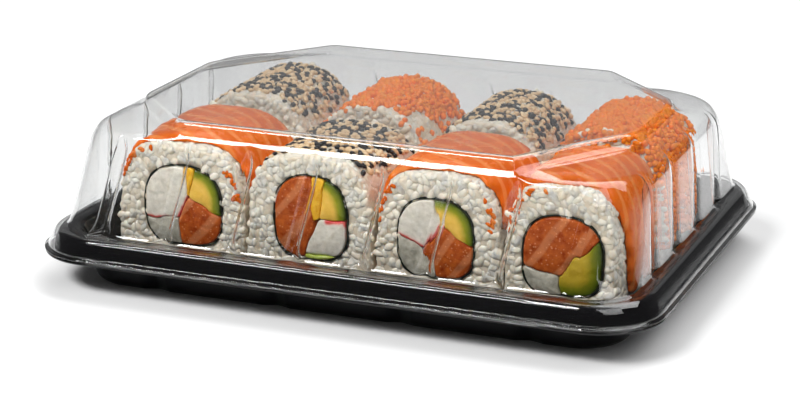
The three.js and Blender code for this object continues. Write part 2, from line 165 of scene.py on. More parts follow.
def outwards(made: Piece) -> None:
    """Recalculate the normals of a mesh so that they point outwards.

    Args:
        made: The object.
    """
    only(made)
    bpy.ops.object.mode_set(mode="EDIT")
    bpy.ops.mesh.select_all(action="SELECT")
    bpy.ops.mesh.normals_make_consistent(inside=False)
    bpy.ops.object.mode_set(mode="OBJECT")


def smooth(made: Piece, angle: float | None = None) -> None:
    """Shade a mesh smooth.

    Args:
        made: The object.
        angle: Edges sharper than this stay sharp, in degrees. Without it, it is smooth all over.
    """
    only(made)
    if angle is None:
        bpy.ops.object.shade_smooth()
    else:
        bpy.ops.object.shade_smooth_by_angle(angle=math.radians(angle))


def note(made: Piece, name: str, values: Array) -> None:
    """Keep a number for each vertex as an attribute that materials can read."""
    attribute = made.data.attributes.new(name, "FLOAT", "POINT")
    attribute.data.foreach_set("value", np.asarray(values, float).ravel())


def dress(made: Piece, material: Material, slot: str, *nodes: str) -> None:
    """Dress a finished piece and put it in place of its CAD nodes.

    Args:
        made: The piece.
        material: Its finish.
        slot: Its material slot; not used.
        *nodes: Names of the CAD nodes that it replaces.
    """
    made.data.materials.clear()
    made.data.materials.append(material)
    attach(made, "root")
    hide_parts(*nodes)
    LOG.info("%s: %d faces", made.name, len(made.data.polygons))


def relief(points: Array, scale: float, seed: float) -> Array:
    """Smooth noise over a surface.

    Args:
        points: Points (x, y, z) in millimetres.
        scale: Usual size of its bumps.
        seed: Where in the noise it is taken.

    Returns:
        A value between about -1 and 1 for each point.
    """
    flat = points.reshape(-1, 3) / scale
    values = [noise.noise(Vector((x + seed, y - seed, z + 2 * seed))) for x, y, z in flat.tolist()]
    return np.array(values).reshape(points.shape[:-1]) * NOISE_GAIN


def resampled(points: Array, count: int) -> Array:
    """Space points evenly along a closed outline.

    Args:
        points: The outline.
        count: How many points are wanted.

    Returns:
        The new points, from the same start.
    """
    loop = np.vstack([points, points[:1]])
    steps = np.hypot(*np.diff(loop, axis=0).T)
    run = np.concatenate([[0], np.cumsum(steps)])
    at = np.arange(count) / count * run[-1]
    return np.stack([np.interp(at, run, loop[:, 0]), np.interp(at, run, loop[:, 1])], axis=1)


def eased(points: Array, axis: int) -> Array:
    """Points of closed loops, each drawn a little towards its two neighbours."""
    return (np.roll(points, 1, axis=axis) + 2 * points + np.roll(points, -1, axis=axis)) / 4


def outline(
    half_u: float, half_v: float, top: float, bottom: float, count: int, splay: float = 0.0
) -> Array:
    """Closed superellipse outline that starts at the bottom middle and runs anticlockwise.

    Args:
        half_u: Half width.
        half_v: Half height.
        top: Roundness above the middle, 2 being an ellipse.
        bottom: Roundness below the middle.
        count: Number of points.
        splay: How much wider it is at the bottom than at the top.

    Returns:
        An array of points (u, v).
    """
    turn = (np.arange(OUTLINE_STEPS) / OUTLINE_STEPS * 2 - 0.5) * math.pi
    cos, sin = np.cos(turn), np.sin(turn)
    power = 2 / np.where(sin > 0, top, bottom)
    v = np.sign(sin) * np.abs(sin) ** power
    u = np.sign(cos) * np.abs(cos) ** power * (1 - splay * v)
    return resampled(np.stack([half_u * u, half_v * v], axis=1), count)


def outward(points: Array) -> Array:
    """Outward normals of an anticlockwise closed outline.

    Args:
        points: The outline.

    Returns:
        A unit normal for each point.
    """
    along = np.roll(points, -1, axis=0) - np.roll(points, 1, axis=0)
    away = np.stack([along[:, 1], -along[:, 0]], axis=1)
    return away / np.linalg.norm(away, axis=1, keepdims=True)


def shrunk(ring: Array, scale: Any, z: float) -> Array:
    """A level drawn in towards the middle by a share, or by one for each point, at another height."""
    return np.concatenate([ring[:, :2] * scale, np.full((len(ring), 1), z)], axis=1)


def rounded(levels: list[Array], cuts: Sequence[float], steps: int = 3, most: float = 0.45) -> Array:
    """Round the edges where levels of a lofted skin meet.

    Args:
        levels: Arrays of points, one for each level, all of one length.
        cuts: How far from each edge its rounding starts, in millimetres; the last one serves the rest.
        steps: Rings in each rounded edge.
        most: Largest share of the way to the next level that a rounding takes.

    Returns:
        The rings of the rounded skin.
    """
    rings = [levels[0]]
    for number, (before, here, after) in enumerate(zip(levels, levels[1:], levels[2:])):
        cut = cuts[min(number, len(cuts) - 1)]
        ends = []
        for other in (before, after):
            reach = np.linalg.norm(other - here, axis=1, keepdims=True)
            share = np.minimum(cut / np.maximum(reach, TINY), most)
            ends.append(here + (other - here) * share)
        for i in range(steps):
            t = i / (steps - 1)
            rings.append((1 - t) ** 2 * ends[0] + 2 * t * (1 - t) * here + t**2 * ends[1])
    rings.append(levels[-1])
    return np.array(rings)


# ---------------------------------------------------------------- shader helpers
def tone(red: int, green: int, blue: int) -> Colour:
    """A colour given by its usual display values from 0 to 255, as the shaders' linear values."""
    line = [c / 255 for c in (red, green, blue)]
    return (*[c / 12.92 if c <= 0.04045 else ((c + 0.055) / 1.055) ** 2.4 for c in line], 1.0)


class NodeWork:
    """Adds and joins the nodes of one node tree."""

    def __init__(self, tree: bpy.types.NodeTree) -> None:
        """Work on a tree."""
        self.tree = tree

    def node(self, kind: str, inputs: dict[Any, Any] | None = None, **settings: Any) -> bpy.types.Node:
        """Add a node.

        Args:
            kind: Type of the node, without its ShaderNode prefix.
            inputs: Values or output sockets for its inputs, by name or number.
            **settings: Its other settings.

        Returns:
            The node.
        """
        made = self.tree.nodes.new("ShaderNode" + kind)
        for key, value in settings.items():
            setattr(made, key, value)
        for key, value in (inputs or {}).items():
            if isinstance(value, bpy.types.NodeSocket):
                self.tree.links.new(value, made.inputs[key])
            else:
                made.inputs[key].default_value = value
        return made

    def ramp(self, value: Any, stops: Sequence[tuple[float, Any]]) -> Any:
        """A colour ramp over a value.

        Args:
            value: Output socket of the value.
            stops: Each (place, colour) or (place, grey).

        Returns:
            Output socket of the colour.
        """
        made = self.node("ValToRGB", {0: value})
        elements = made.color_ramp.elements
        while len(elements) < len(stops):
            elements.new(0.5)
        for element, (place, colour) in zip(elements, stops):
            element.position = place
            element.color = colour if isinstance(colour, tuple) else (colour, colour, colour, 1)
        return made.outputs["Color"]

    def mix(self, share: Any, first: Any, second: Any) -> Any:
        """A mix of two colours."""
        return self.node("Mix", {0: share, 6: first, 7: second}, data_type="RGBA").outputs[2]

    def maths(self, operation: str, first: Any, second: Any = 0.0) -> Any:
        """A sum on one or two values."""
        return self.node("Math", {0: first, 1: second}, operation=operation).outputs[0]


class Effect(Enum):
    """Shared surface effects, each one node group with a mask and a height."""

    MOTTLE = "mottle"
    STREAKS = "streaks"
    PORES = "pores"


def effect_group(kind: Effect) -> bpy.types.NodeTree:
    """Build the node group of a shared effect, or give the one that is there.

    Args:
        kind: Which effect.

    Returns:
        The group, with inputs Vector, Size and Contrast, and outputs Mask and Height.
    """
    if kind.value in bpy.data.node_groups:
        return bpy.data.node_groups[kind.value]
    group = bpy.data.node_groups.new(kind.value, "ShaderNodeTree")
    face = group.interface
    face.new_socket("Vector", in_out="INPUT", socket_type="NodeSocketVector")
    face.new_socket("Size", in_out="INPUT", socket_type="NodeSocketFloat").default_value = 1.0
    face.new_socket("Contrast", in_out="INPUT", socket_type="NodeSocketFloat").default_value = 1.0
    face.new_socket("Mask", in_out="OUTPUT", socket_type="NodeSocketFloat")
    face.new_socket("Height", in_out="OUTPUT", socket_type="NodeSocketFloat")
    work = NodeWork(group)
    given = group.nodes.new("NodeGroupInput").outputs
    scale = work.maths("DIVIDE", 1000.0, given["Size"])
    place = {"Vector": given["Vector"], "Scale": scale}
    if kind is Effect.MOTTLE:
        raw = work.node("TexNoise", {**place, "Detail": 4.0, "Roughness": 0.6}).outputs[0]
    elif kind is Effect.STREAKS:
        wave = {**place, "Distortion": 3.5, "Detail": 2.0, "Detail Scale": 0.7}
        raw = work.node("TexWave", wave, wave_type="BANDS", bands_direction="X").outputs[1]
    else:
        raw = work.node("TexVoronoi", place).outputs[0]
    centred = work.maths("SUBTRACT", raw, 0.5)
    spread = work.maths("MULTIPLY", centred, given["Contrast"])
    mask = work.node("Clamp", {0: work.maths("ADD", spread, 0.5)}).outputs[0]
    ends = group.nodes.new("NodeGroupOutput").inputs
    group.links.new(mask, ends["Mask"])
    group.links.new(raw, ends["Height"])
    return group


class Surface(NodeWork):
    """One material round a Principled shader, with short calls for what the finishes need."""

    def __init__(self, name: str, **plain: Any) -> None:
        """Start a material.

        Args:
            name: Its name.
            **plain: Values of the shader's own sockets, with underscores for spaces.
        """
        self.material = bpy.data.materials.new(name)
        self.material.use_nodes = True
        super().__init__(self.material.node_tree)
        self.shader = self.tree.nodes["Principled BSDF"]
        for key, value in plain.items():
            self.shader.inputs[key.replace("_", " ")].default_value = value
        self.place = self.node("TexCoord").outputs["Object"]
        self.flesh: Any = None

    def effect(
        self, kind: Effect, size: float, contrast: float = 1.0, turn: Sequence[float] = (0, 0, 0)
    ) -> Any:
        """Place a shared effect.

        Args:
            kind: Which effect.
            size: Size of its pattern in millimetres.
            contrast: How far it is driven to its ends.
            turn: Turn of the pattern, in degrees.

        Returns:
            The outputs of the placed group.
        """
        mapped = self.node("Mapping", {"Vector": self.place}, vector_type="TEXTURE")
        mapped.inputs["Rotation"].default_value = tuple(math.radians(a) for a in turn)
        made = self.tree.nodes.new("ShaderNodeGroup")
        made.node_tree = effect_group(kind)
        self.tree.links.new(mapped.outputs[0], made.inputs["Vector"])
        made.inputs["Size"].default_value = size
        made.inputs["Contrast"].default_value = contrast
        return made.outputs

    def attribute(self, name: str) -> Any:
        """A number kept on the mesh."""
        return self.node("Attribute", attribute_name=name).outputs["Fac"]

    def colour(self, value: Any) -> None:
        """Paint the base colour."""
        self.tree.links.new(value, self.shader.inputs["Base Color"])

    def roughness(self, value: Any, least: float, most: float) -> None:
        """Let a mask move the roughness between two values."""
        made = self.node("MapRange", {0: value, 3: least, 4: most})
        self.tree.links.new(made.outputs[0], self.shader.inputs["Roughness"])

    def bump(self, height: Any, depth: float, strength: float = 1.0) -> None:
        """Raise the surface by a height, at a depth in millimetres."""
        made = self.node("Bump", {"Height": height, "Distance": depth * MM, "Strength": strength})
        self.tree.links.new(made.outputs[0], self.shader.inputs["Normal"])


# ---------------------------------------------------------------- finishes
@dataclass(frozen=True)
class FoodFinish:
    """Moist food: light enters it a little, and its wet film shines.

    Its flesh is mottled between a light and a dark tone. Sizes are in millimetres.
    """

    name: str
    light: Colour
    dark: Colour
    size: float = 2.0
    contrast: float = 2.0
    rough: float = 0.35
    depth: float = 0.12
    soft: float = 0.25
    tinted: bool = False
    shine: float = 0.3
    film: float = 0.25
    fine: float = 0.35

    def surface(self) -> Surface:
        """Build the material's common part: two tones mottled, a wet film and a fine relief.

        Returns:
            The surface, ready for more paint.
        """
        made = Surface(
            self.name,
            Subsurface_Weight=self.soft,
            Subsurface_Scale=0.0012,
            Subsurface_Radius=(1.0, 0.75, 0.55),
            Roughness=self.rough,
            Specular_IOR_Level=self.shine,
            Coat_Weight=self.shine * self.film,
            Coat_Roughness=0.1,
        )
        patches = made.effect(Effect.MOTTLE, self.size, self.contrast)
        share = patches["Mask"]
        if self.tinted:
            share = made.maths("MULTIPLY", made.maths("ADD", share, made.attribute("tint")), 0.5)
        made.flesh = made.mix(share, self.dark, self.light)
        made.colour(made.flesh)
        made.roughness(patches["Mask"], self.rough * 0.75, min(self.rough * 1.3, 1.0))
        grain = made.effect(Effect.MOTTLE, self.size * self.fine)
        made.bump(grain["Height"], self.depth, 0.6)
        return made


@dataclass(frozen=True)
class SalmonFinish(FoodFinish):
    """Raw salmon, with pale lines of fat and pale flecks through the flesh."""

    fat: Colour = tone(246, 196, 160)
    line: float = 3.4
    pattern: float = 6.0
    turn: tuple[float, float, float] = (0, 35, 20)
    share: float = 0.5
    flecks: float = 0.0
    fleck_size: float = 1.1

    def surface(self) -> Surface:
        """Lay the fat lines over the flesh.

        Returns:
            The surface.
        """
        made = super().surface()
        streaks = made.effect(Effect.STREAKS, self.line * self.pattern, turn=self.turn)
        lines = made.ramp(streaks["Mask"], [(0.0, 0.0), (0.72, 0.0), (0.9, self.share), (1.0, self.share)])
        striped = made.mix(lines, made.flesh, self.fat)
        spots = made.effect(Effect.PORES, self.fleck_size)["Height"]
        dots = made.ramp(spots, [(0.0, self.flecks), (0.16, self.flecks), (0.26, 0.0)])
        made.colour(made.mix(dots, striped, self.fat))
        return made


@dataclass(frozen=True)
class BandedFinish(FoodFinish):
    """Food whose colour runs with the distance from its skin or its cut edge.

    Bands are (distance in mm, colour, how much of it) from the edge named by the attribute.
    """

    along: str = "skin"
    bands: tuple[tuple[float, Colour, float], ...] = ()
    reach: float = 12.0
    wobble: float = 1.2

    def surface(self) -> Surface:
        """Lay the bands over the flesh.

        Returns:
            The surface.
        """
        made = super().surface()
        wander = made.maths("SUBTRACT", made.effect(Effect.MOTTLE, 3.0)["Height"], 0.5)
        near = made.attribute(self.along)
        moved = made.maths("ADD", near, made.maths("MULTIPLY", wander, self.wobble))
        share = made.maths("DIVIDE", moved, self.reach)
        colour = made.ramp(share, [(d / self.reach, c) for d, c, _ in self.bands])
        cover = made.ramp(share, [(d / self.reach, k) for d, _, k in self.bands])
        made.colour(made.mix(cover, made.flesh, colour))
        return made


WHITE_FLESH = (tone(240, 233, 220), tone(206, 198, 182))

FINISHES: dict[str, FoodFinish] = {
    finish.name: finish
    for finish in (
        FoodFinish("rice_grain", tone(248, 238, 222), tone(228, 211, 188), 3.0, 2.0, 0.3, 0.05, 0.5, True),
        FoodFinish("rice_bed", tone(236, 224, 204), tone(208, 190, 166), 2.0, 2.0, 0.4, 0.2, 0.5),
        FoodFinish("seaweed", tone(34, 40, 26), tone(12, 16, 10), 1.5, 2.0, 0.42, 0.2, 0.0),
        SalmonFinish(
            "salmon_flesh", tone(200, 98, 32), tone(152, 56, 8), 2.0, 2.6, 0.32, 0.2, 0.3,
            fat=tone(238, 168, 118), line=3.6, share=0.3, flecks=0.5, shine=0.15,
        ),
        SalmonFinish(
            "salmon_slice", tone(234, 116, 20), tone(208, 86, 6), 6.0, 1.6, 0.26, 0.12, 0.3,
            fat=tone(248, 172, 104), line=3.0, turn=(0, 0, 62), share=0.34, shine=0.15,
        ),
        BandedFinish(
            "avocado", tone(248, 204, 96), tone(232, 182, 62), 2.5, 2.0, 0.34, 0.16, 0.3,
            along="skin",
            bands=(
                (0.0, tone(44, 54, 0), 1.0),
                (0.6, tone(92, 108, 2), 1.0),
                (1.8, tone(142, 148, 10), 0.95),
                (3.8, tone(222, 186, 60), 0.0),
            ),
        ),
        BandedFinish(
            "olive_avocado", tone(206, 176, 52), tone(176, 144, 26), 2.5, 2.0, 0.34, 0.16, 0.3,
            along="skin",
            bands=(
                (0.0, tone(44, 54, 0), 1.0),
                (0.8, tone(80, 96, 0), 1.0),
                (2.6, tone(122, 124, 8), 0.95),
                (5.6, tone(190, 160, 40), 0.0),
            ),
        ),
        BandedFinish(
            "crab_stick", *WHITE_FLESH, 1.6, 2.4, 0.34, 0.14, 0.35,
            along="cut",
            bands=(
                (0.0, tone(206, 44, 44), 1.0),
                (0.45, tone(222, 84, 78), 0.85),
                (0.9, tone(240, 190, 180), 0.3),
                (1.6, tone(240, 238, 230), 0.0),
            ),
        ),
        FoodFinish("pickled_radish", tone(250, 198, 50), tone(228, 160, 26), 2.0, 2.0, 0.28, 0.14, 0.3),
        FoodFinish("white_filling", tone(206, 200, 184), tone(150, 146, 132), 2.6, 2.6, 0.32, 0.18, 0.35),
        FoodFinish("cucumber", tone(196, 204, 96), tone(128, 150, 44), 1.5, 2.0, 0.3, 0.08, 0.3),
        FoodFinish("sesame_tan", tone(238, 212, 174), tone(200, 164, 120), 2.0, 1.6, 0.5, 0.05, 0.1, True),
        FoodFinish("sesame_black", tone(46, 44, 44), tone(14, 14, 16), 2.0, 1.6, 0.42, 0.05, 0.0, True),
        FoodFinish("fish_roe", tone(254, 148, 30), tone(246, 116, 12), 2.0, 1.4, 0.22, 0.02, 0.4, True, 0.2),
    )
}

SLOTS = {
    "salmon": ("salmon", "salmon_flesh"),
    "avocado": ("avocado", "avocado"),
    "surimi": ("crab_stick", "crab_stick"),
    "pickle": ("pickled_radish", "pickled_radish"),
    "cream": ("cream_cheese", "white_filling"),
    "cucumber": ("cucumber", "cucumber"),
}


@dataclass(frozen=True)
class BlackPlastic:
    """Glossy black sheet, a little wavy and faintly scuffed."""

    tones: tuple[Colour, Colour] = (tone(5, 5, 6), tone(11, 11, 12))
    haze: float = 9.0
    rough: tuple[float, float] = (0.04, 0.1)
    wave: float = 14.0
    depth: float = 0.12

    def surface(self) -> Surface:
        """Build the material.

        Returns:
            The surface.
        """
        made = Surface("black_plastic", IOR=1.5, Specular_IOR_Level=0.45)
        haze = made.effect(Effect.MOTTLE, self.haze, 1.5)
        made.colour(made.mix(haze["Mask"], *self.tones))
        made.roughness(haze["Mask"], *self.rough)
        made.bump(made.effect(Effect.MOTTLE, self.wave)["Height"], self.depth, 0.35)
        return made


@dataclass(frozen=True)
class ClearPlastic:
    """Clear thermoformed sheet, slightly wavy, that lets lamps through."""

    colour: Colour = (0.9, 0.905, 0.905, 1.0)
    shade: Colour = (0.93, 0.935, 0.935, 1.0)
    ior: float = 1.42
    rough: float = 0.01
    wave: float = 22.0
    depth: float = 0.12

    def surface(self) -> Surface:
        """Build the material: glass to the camera, and a thin grey veil to shadow and diffuse rays.

        Returns:
            The surface.
        """
        made = Surface(
            "clear_plastic",
            Base_Color=self.colour,
            Transmission_Weight=1.0,
            IOR=self.ior,
            Roughness=self.rough,
        )
        made.bump(made.effect(Effect.MOTTLE, self.wave)["Height"], self.depth, 0.25)
        clear = made.node("BsdfTransparent", {"Color": self.shade})
        rays = made.node("LightPath")
        lamps = made.maths("MAXIMUM", rays.outputs["Is Shadow Ray"], rays.outputs["Is Diffuse Ray"])
        both = made.node("MixShader", {0: lamps, 1: made.shader.outputs[0], 2: clear.outputs[0]})
        made.tree.links.new(both.outputs[0], made.tree.nodes["Material Output"].inputs["Surface"])
        return made


# ---------------------------------------------------------------- plastic parts
@dataclass(frozen=True)
class GrooveRow:
    """Upright grooves of one wall. Their middles lean along the wall on the way up."""

    count: int
    pitch: float
    offset: float = 0.0
    lean: float = 0.0
    faint: int = -1
    faintness: float = 0.35

    def strength(self, number: int) -> float:
        """How deep one groove is, beside the others."""
        return self.faintness if number == self.faint else 1.0

    def centres(self, share: float) -> Array:
        """Middles of the grooves at a share of the way up the wall."""
        return self.offset + self.lean * share + (np.arange(self.count) - (self.count - 1) / 2) * self.pitch


@dataclass(frozen=True)
class Contour:
    """Rounded rectangle with grooves, with its points always in the same columns.

    A groove has the points in_groove, as shares of its half width, and a section of power profile.
    """

    long: GrooveRow
    short: GrooveRow
    corner: int = 26
    between: int = 8
    margin: float = 1.0
    profile: float = 1.25
    in_groove: tuple[float, ...] = (-1.0, -0.75, -0.5, -0.25, -0.08, 0.08, 0.25, 0.5, 0.75, 1.0)

    def rows(self) -> list[GrooveRow]:
        """Groove rows of the four sides, anticlockwise from the right one."""
        return [self.short, self.long, self.short, self.long]

    def side_keys(self, side: int, flat: float, share: float, width: float) -> tuple[Array, Array]:
        """Where along one side its points lie, and how deep in a groove each is.

        Args:
            side: Number of the side.
            flat: Half length of its straight part.
            share: Share of the way up the wall.
            width: Half width of a groove.

        Returns:
            Places along the side, and depths from 0 to 1.
        """
        centres = self.rows()[side].centres(share)
        edge = max(flat, centres[-1] + width + self.margin)
        start = min(-flat, centres[0] - width - self.margin)
        places, depths = [start], [0.0]
        for number, centre in enumerate(centres):
            gap = np.linspace(places[-1], centre - width, self.between + 1)[1:-1]
            places += [*gap, *(centre + width * np.array(self.in_groove))]
            strength = self.rows()[side].strength(number)
            depths += [0.0] * len(gap) + [strength * (1 - abs(s) ** self.profile) for s in self.in_groove]
        gap = np.linspace(places[-1], edge, self.between + 1)[1:]
        return np.array([*places, *gap]), np.array([*depths, *[0.0] * len(gap)])

    def level(
        self,
        half_x: float,
        half_y: float,
        radius: float,
        z: float,
        share: float = 0.0,
        width: float = 2.0,
        deep: tuple[float, float] = (0.0, 0.0),
        back: float = 1.0,
    ) -> Array:
        """Points of one level.

        Args:
            half_x: Half size along X.
            half_y: Half size along Y.
            radius: Corner radius.
            z: Height.
            share: Share of the way up the wall, for the lean of the grooves.
            width: Half width of a groove.
            deep: Depth of the grooves in the long and in the short walls.
            back: Share of that depth in the back wall.

        Returns:
            An array of points.
        """
        flats = [(half_x if side % 2 else half_y) - radius for side in range(4)]
        keys = [self.side_keys(side, flat, share, width) for side, flat in enumerate(flats)]
        loop = []
        for side, flat in enumerate(flats):
            reach = half_y if side % 2 else half_x
            along, depth = keys[side]
            past = np.clip((np.abs(along) - flat) / radius, 0, 1)
            cut = deep[0] * (back if side == 1 else 1.0) if side % 2 else deep[1]
            out = reach - radius + radius * np.sqrt(1 - past**2) - depth * cut
            first = math.asin(min(max((along[-1] - flat) / radius, 0), 1))
            following = keys[(side + 1) % 4][0][0]
            next_flat = reach - radius
            last = math.pi / 2 - math.asin(min(max((-following - next_flat) / radius, 0), 1))
            swing = np.linspace(first, last, self.corner + 2)[1:-1]
            out = np.concatenate([out, reach - radius + radius * np.cos(swing)])
            along = np.concatenate([along, flat + radius * np.sin(swing)])
            cos, sin = [(1, 0), (0, 1), (-1, 0), (0, -1)][side]
            heights = np.full_like(out, z)
            loop.append(np.stack([cos * out - sin * along, sin * out + cos * along, heights], axis=1))
        points = np.concatenate(loop)
        missing = -len(points) % 4
        return np.concatenate([points, np.linspace(points[-1], points[0], missing + 2)[1:-1]])


@dataclass
class BlackBase:
    """The black thermoformed tray, with fluted walls, a lip and a raised rim."""

    inset_x: float = 12.2
    inset_y: float = 12.6
    contour: Contour = Contour(GrooveRow(4, 37.4), GrooveRow(3, 30.0), corner=24)
    flute: float = 4.2
    cut: float = 0.5
    smooth_angle: float = 32.0

    def level(self, inset_x: float, inset_y: float, radius: float, z: float, deep: float = 0.0) -> Array:
        """One level, by how far it lies inside the outer lip and how deep its flutes are."""
        half_x, half_y = LENGTH / 2 - inset_x, WIDTH / 2 - inset_y
        return self.contour.level(half_x, half_y, radius, z, width=self.flute, deep=(deep, deep))

    def rings(self) -> Array:
        """The tray's skin, from the middle of its underside round to the middle of its floor.

        Returns:
            Rings by places by (x, y, z).
        """
        x, y = self.inset_x, self.inset_y
        foot = self.level(x + 1, y + 1, 12.5, 0, 1.2)
        floor = self.level(x + 2.6, y + 2.6, 11, FLOOR)
        levels = [
            shrunk(foot, 0.9, 0.6),
            shrunk(foot, 0.96, 0.55),
            shrunk(foot, 0.975, 0.0),
            foot,
            self.level(x - 0.2, y - 0.2, 13.5, 1.2, 1.6),
            self.level(x - 2.6, y - 2.6, 15, LIP_HEIGHT - 1.6, 0.8),
            self.level(1, 1, 18, LIP_HEIGHT - 1),
            self.level(0.2, 0.2, 18.6, LIP_HEIGHT - 0.6),
            self.level(0.2, 0.2, 18.6, LIP_HEIGHT),
            self.level(1.8, 1.8, 18.2, LIP_HEIGHT - 0.1),
            self.level(2.15, 2.15, 18.0, LIP_HEIGHT + 1.2),
            self.level(3.85, 2.85, 17.2, RIM_HEIGHT - 0.9),
            self.level(4.7, 3.7, 16.8, RIM_HEIGHT - 0.1),
            self.level(8.6, 8.6, 13.6, RIM_HEIGHT - 0.1),
            self.level(9.7, 9.7, 13.0, RIM_HEIGHT - 1.1),
            self.level(x + 1.6, y + 1.6, 12, FLOOR + 1.2),
            floor,
            shrunk(floor, 0.9, FLOOR),
            shrunk(floor, 0.88, FLOOR + 0.4),
            shrunk(floor, 0.2, FLOOR + 0.4),
        ]
        return rounded(levels, (self.cut,))

    def build(self, material: Material) -> None:
        """Model the base and dress it.

        Args:
            material: Its plastic.
        """
        made, _ = lofted("black_base", self.rings())
        smooth(made, self.smooth_angle)
        dress(made, material, "base", "tray")


@dataclass
class ClearLid:
    """The clear lid: hem, flange over the rim, grooved walls, shoulder and octagonal panel."""

    thickness: float = 0.35
    cuts: tuple[tuple[float, float], ...] = ((26, 26), (27, 34), (23, 24), (23, 35))
    contour: Contour = Contour(GrooveRow(8, 19.6, -1.2, 4.0, 7), GrooveRow(4, 22.2, -2.0, 1.0))
    cuts_along: tuple[float, ...] = (0.4, 0.4, 0.5, 1.4, 1.4, 2.2, 2.2, 3.0, 3.0, 3.0, 1.6, 0.9)
    tab_starts: tuple[float, float] = (-66.0, 57.0)
    tab_step: float = 0.7
    tab_run: float = 1.2
    foot_groove: float = 4.0
    panel_rings: tuple[float, ...] = (0.9, 0.8, 0.6, 0.35, 0.1)
    smooth_angle: float = 40.0

    def wall(
        self,
        inset_x: float,
        inset_y: float,
        radius: float,
        z: float,
        share: float,
        width: float,
        deep: tuple[float, float],
        back: float = 1.0,
    ) -> Array:
        """One level of the grooved wall, by how far it lies inside the outer lip.

        Args:
            inset_x: How far it lies inside the lip along X.
            inset_y: How far it lies inside the lip along Y.
            radius: Corner radius.
            z: Height.
            share: Share of the way up the wall, for the lean of the grooves.
            width: Half width of a groove.
            deep: Depth of the grooves in the long and in the short walls.
            back: Share of that depth in the back wall.

        Returns:
            An array of points.
        """
        half_x, half_y = LENGTH / 2 - inset_x, WIDTH / 2 - inset_y
        return self.contour.level(half_x, half_y, radius, z, share, width, deep, back)

    def edge(self, inset: float, radius: float, z: float, tab: float = 0.0, side: float = 0.0) -> Array:
        """One level of the hem, a little wider beyond the starts of the corner tabs.

        Args:
            inset: How far it lies inside the outer lip.
            radius: Corner radius.
            z: Height.
            tab: Share of the tabs' step at this level.
            side: How much further in it lies at the two short sides.

        Returns:
            An array of points.
        """
        half_x, half_y = LENGTH / 2 - inset - side, WIDTH / 2 - inset
        ring = self.contour.level(half_x, half_y, radius, z, width=self.foot_groove)
        along = -ring[:, 0] * np.sign(ring[:, 1])
        low, high = self.tab_starts
        beyond = np.clip(np.maximum(along - high, low - along) / self.tab_run, 0, 1)
        ring[:, :2] *= 1 + (tab * self.tab_step * beyond / np.linalg.norm(ring[:, :2], axis=1))[:, None]
        return ring

    def octagon(self, wall: Array, grow: float, z: float) -> Array:
        """A level of the raised panel, found by drawing a wall level in onto its eight sides.

        Args:
            wall: Points of the wall level below.
            grow: How much wider than the panel it is.
            z: Height.

        Returns:
            An array of points.
        """
        sides = []
        for turn in range(4):
            reach = (PANEL_HALF_Y if turn % 2 else PANEL_HALF_X) + grow
            angle = turn * math.pi / 2
            sides.append((math.cos(angle), math.sin(angle), reach))
            signs = [(1, 1), (-1, 1), (-1, -1), (1, -1)][turn]
            cut_x, cut_y = self.cuts[turn]
            size = math.hypot(cut_x, cut_y)
            normal = (signs[0] * cut_y / size, signs[1] * cut_x / size)
            corner = ((PANEL_HALF_X - cut_x) * cut_y + PANEL_HALF_Y * cut_x) / size
            sides.append((*normal, corner + grow))
        shares = [reach / np.maximum(wall[:, 0] * nx + wall[:, 1] * ny, TINY) for nx, ny, reach in sides]
        return shrunk(wall, np.min(shares, axis=0)[:, None], z)

    def rings(self) -> Array:
        """The lid's outer skin, from its hem up to the middle of the panel.

        Returns:
            Rings by places by (x, y, z).
        """
        hem = LIP_HEIGHT + GAP
        under = RIM_HEIGHT + GAP
        foot = under + 0.5
        shoulder = self.wall(12.4, 14.8, 18, SHOULDER_HEIGHT + 4, 1.0, 1.5, (0, 0))
        top = self.octagon(shoulder, -0.6, HEIGHT)
        levels = [
            self.edge(0.0, 18.8, hem),
            self.edge(0.0, 18.8, hem + 0.5),
            self.edge(0.9, 18.5, hem + 0.8),
            self.edge(1.3, 18.5, hem + 1.1, 0.9),
            self.edge(2.2, 17.4, under - 0.8, 0.9, 1.1),
            self.edge(3.0, 17.0, foot, 0.2, 1.1),
            self.wall(6.8, 5.6, 13.4, foot, 0.0, self.foot_groove, (3.2, 1.7)),
            self.wall(7.5, 7.0, 13.8, foot + 3.2, 0.1, 1.9, (2.8, 1.8)),
            self.wall(8.8, 12.6, 20, SHOULDER_HEIGHT - 1, 0.95, 1.9, (3.8, 3.1), 0.45),
            self.wall(9.8, 13.8, 20, SHOULDER_HEIGHT + 1.6, 1.0, 1.5, (1.3, 1.1), 0.0),
            shoulder,
            self.octagon(shoulder, 1.4, STEP_HEIGHT),
            self.octagon(shoulder, 0.3, HEIGHT - 0.7),
            top,
            self.octagon(shoulder, -2.4, HEIGHT),
        ]
        panel = [shrunk(top, share, HEIGHT) for share in self.panel_rings]
        return np.concatenate([rounded(levels, self.cuts_along, 4), panel])

    def build(self, material: Material) -> None:
        """Model the lid as one sheet, give it its thickness and dress it.

        Args:
            material: Its plastic.
        """
        made, _ = lofted("clear_lid", eased(self.rings(), axis=1), "top")
        sheet = made.modifiers.new("sheet", "SOLIDIFY")
        sheet.thickness = self.thickness * MM
        sheet.offset = -1.0
        only(made)
        bpy.ops.object.modifier_apply(modifier=sheet.name)
        smooth(made, self.smooth_angle)
        dress(made, material, "clear_lid", "lid")


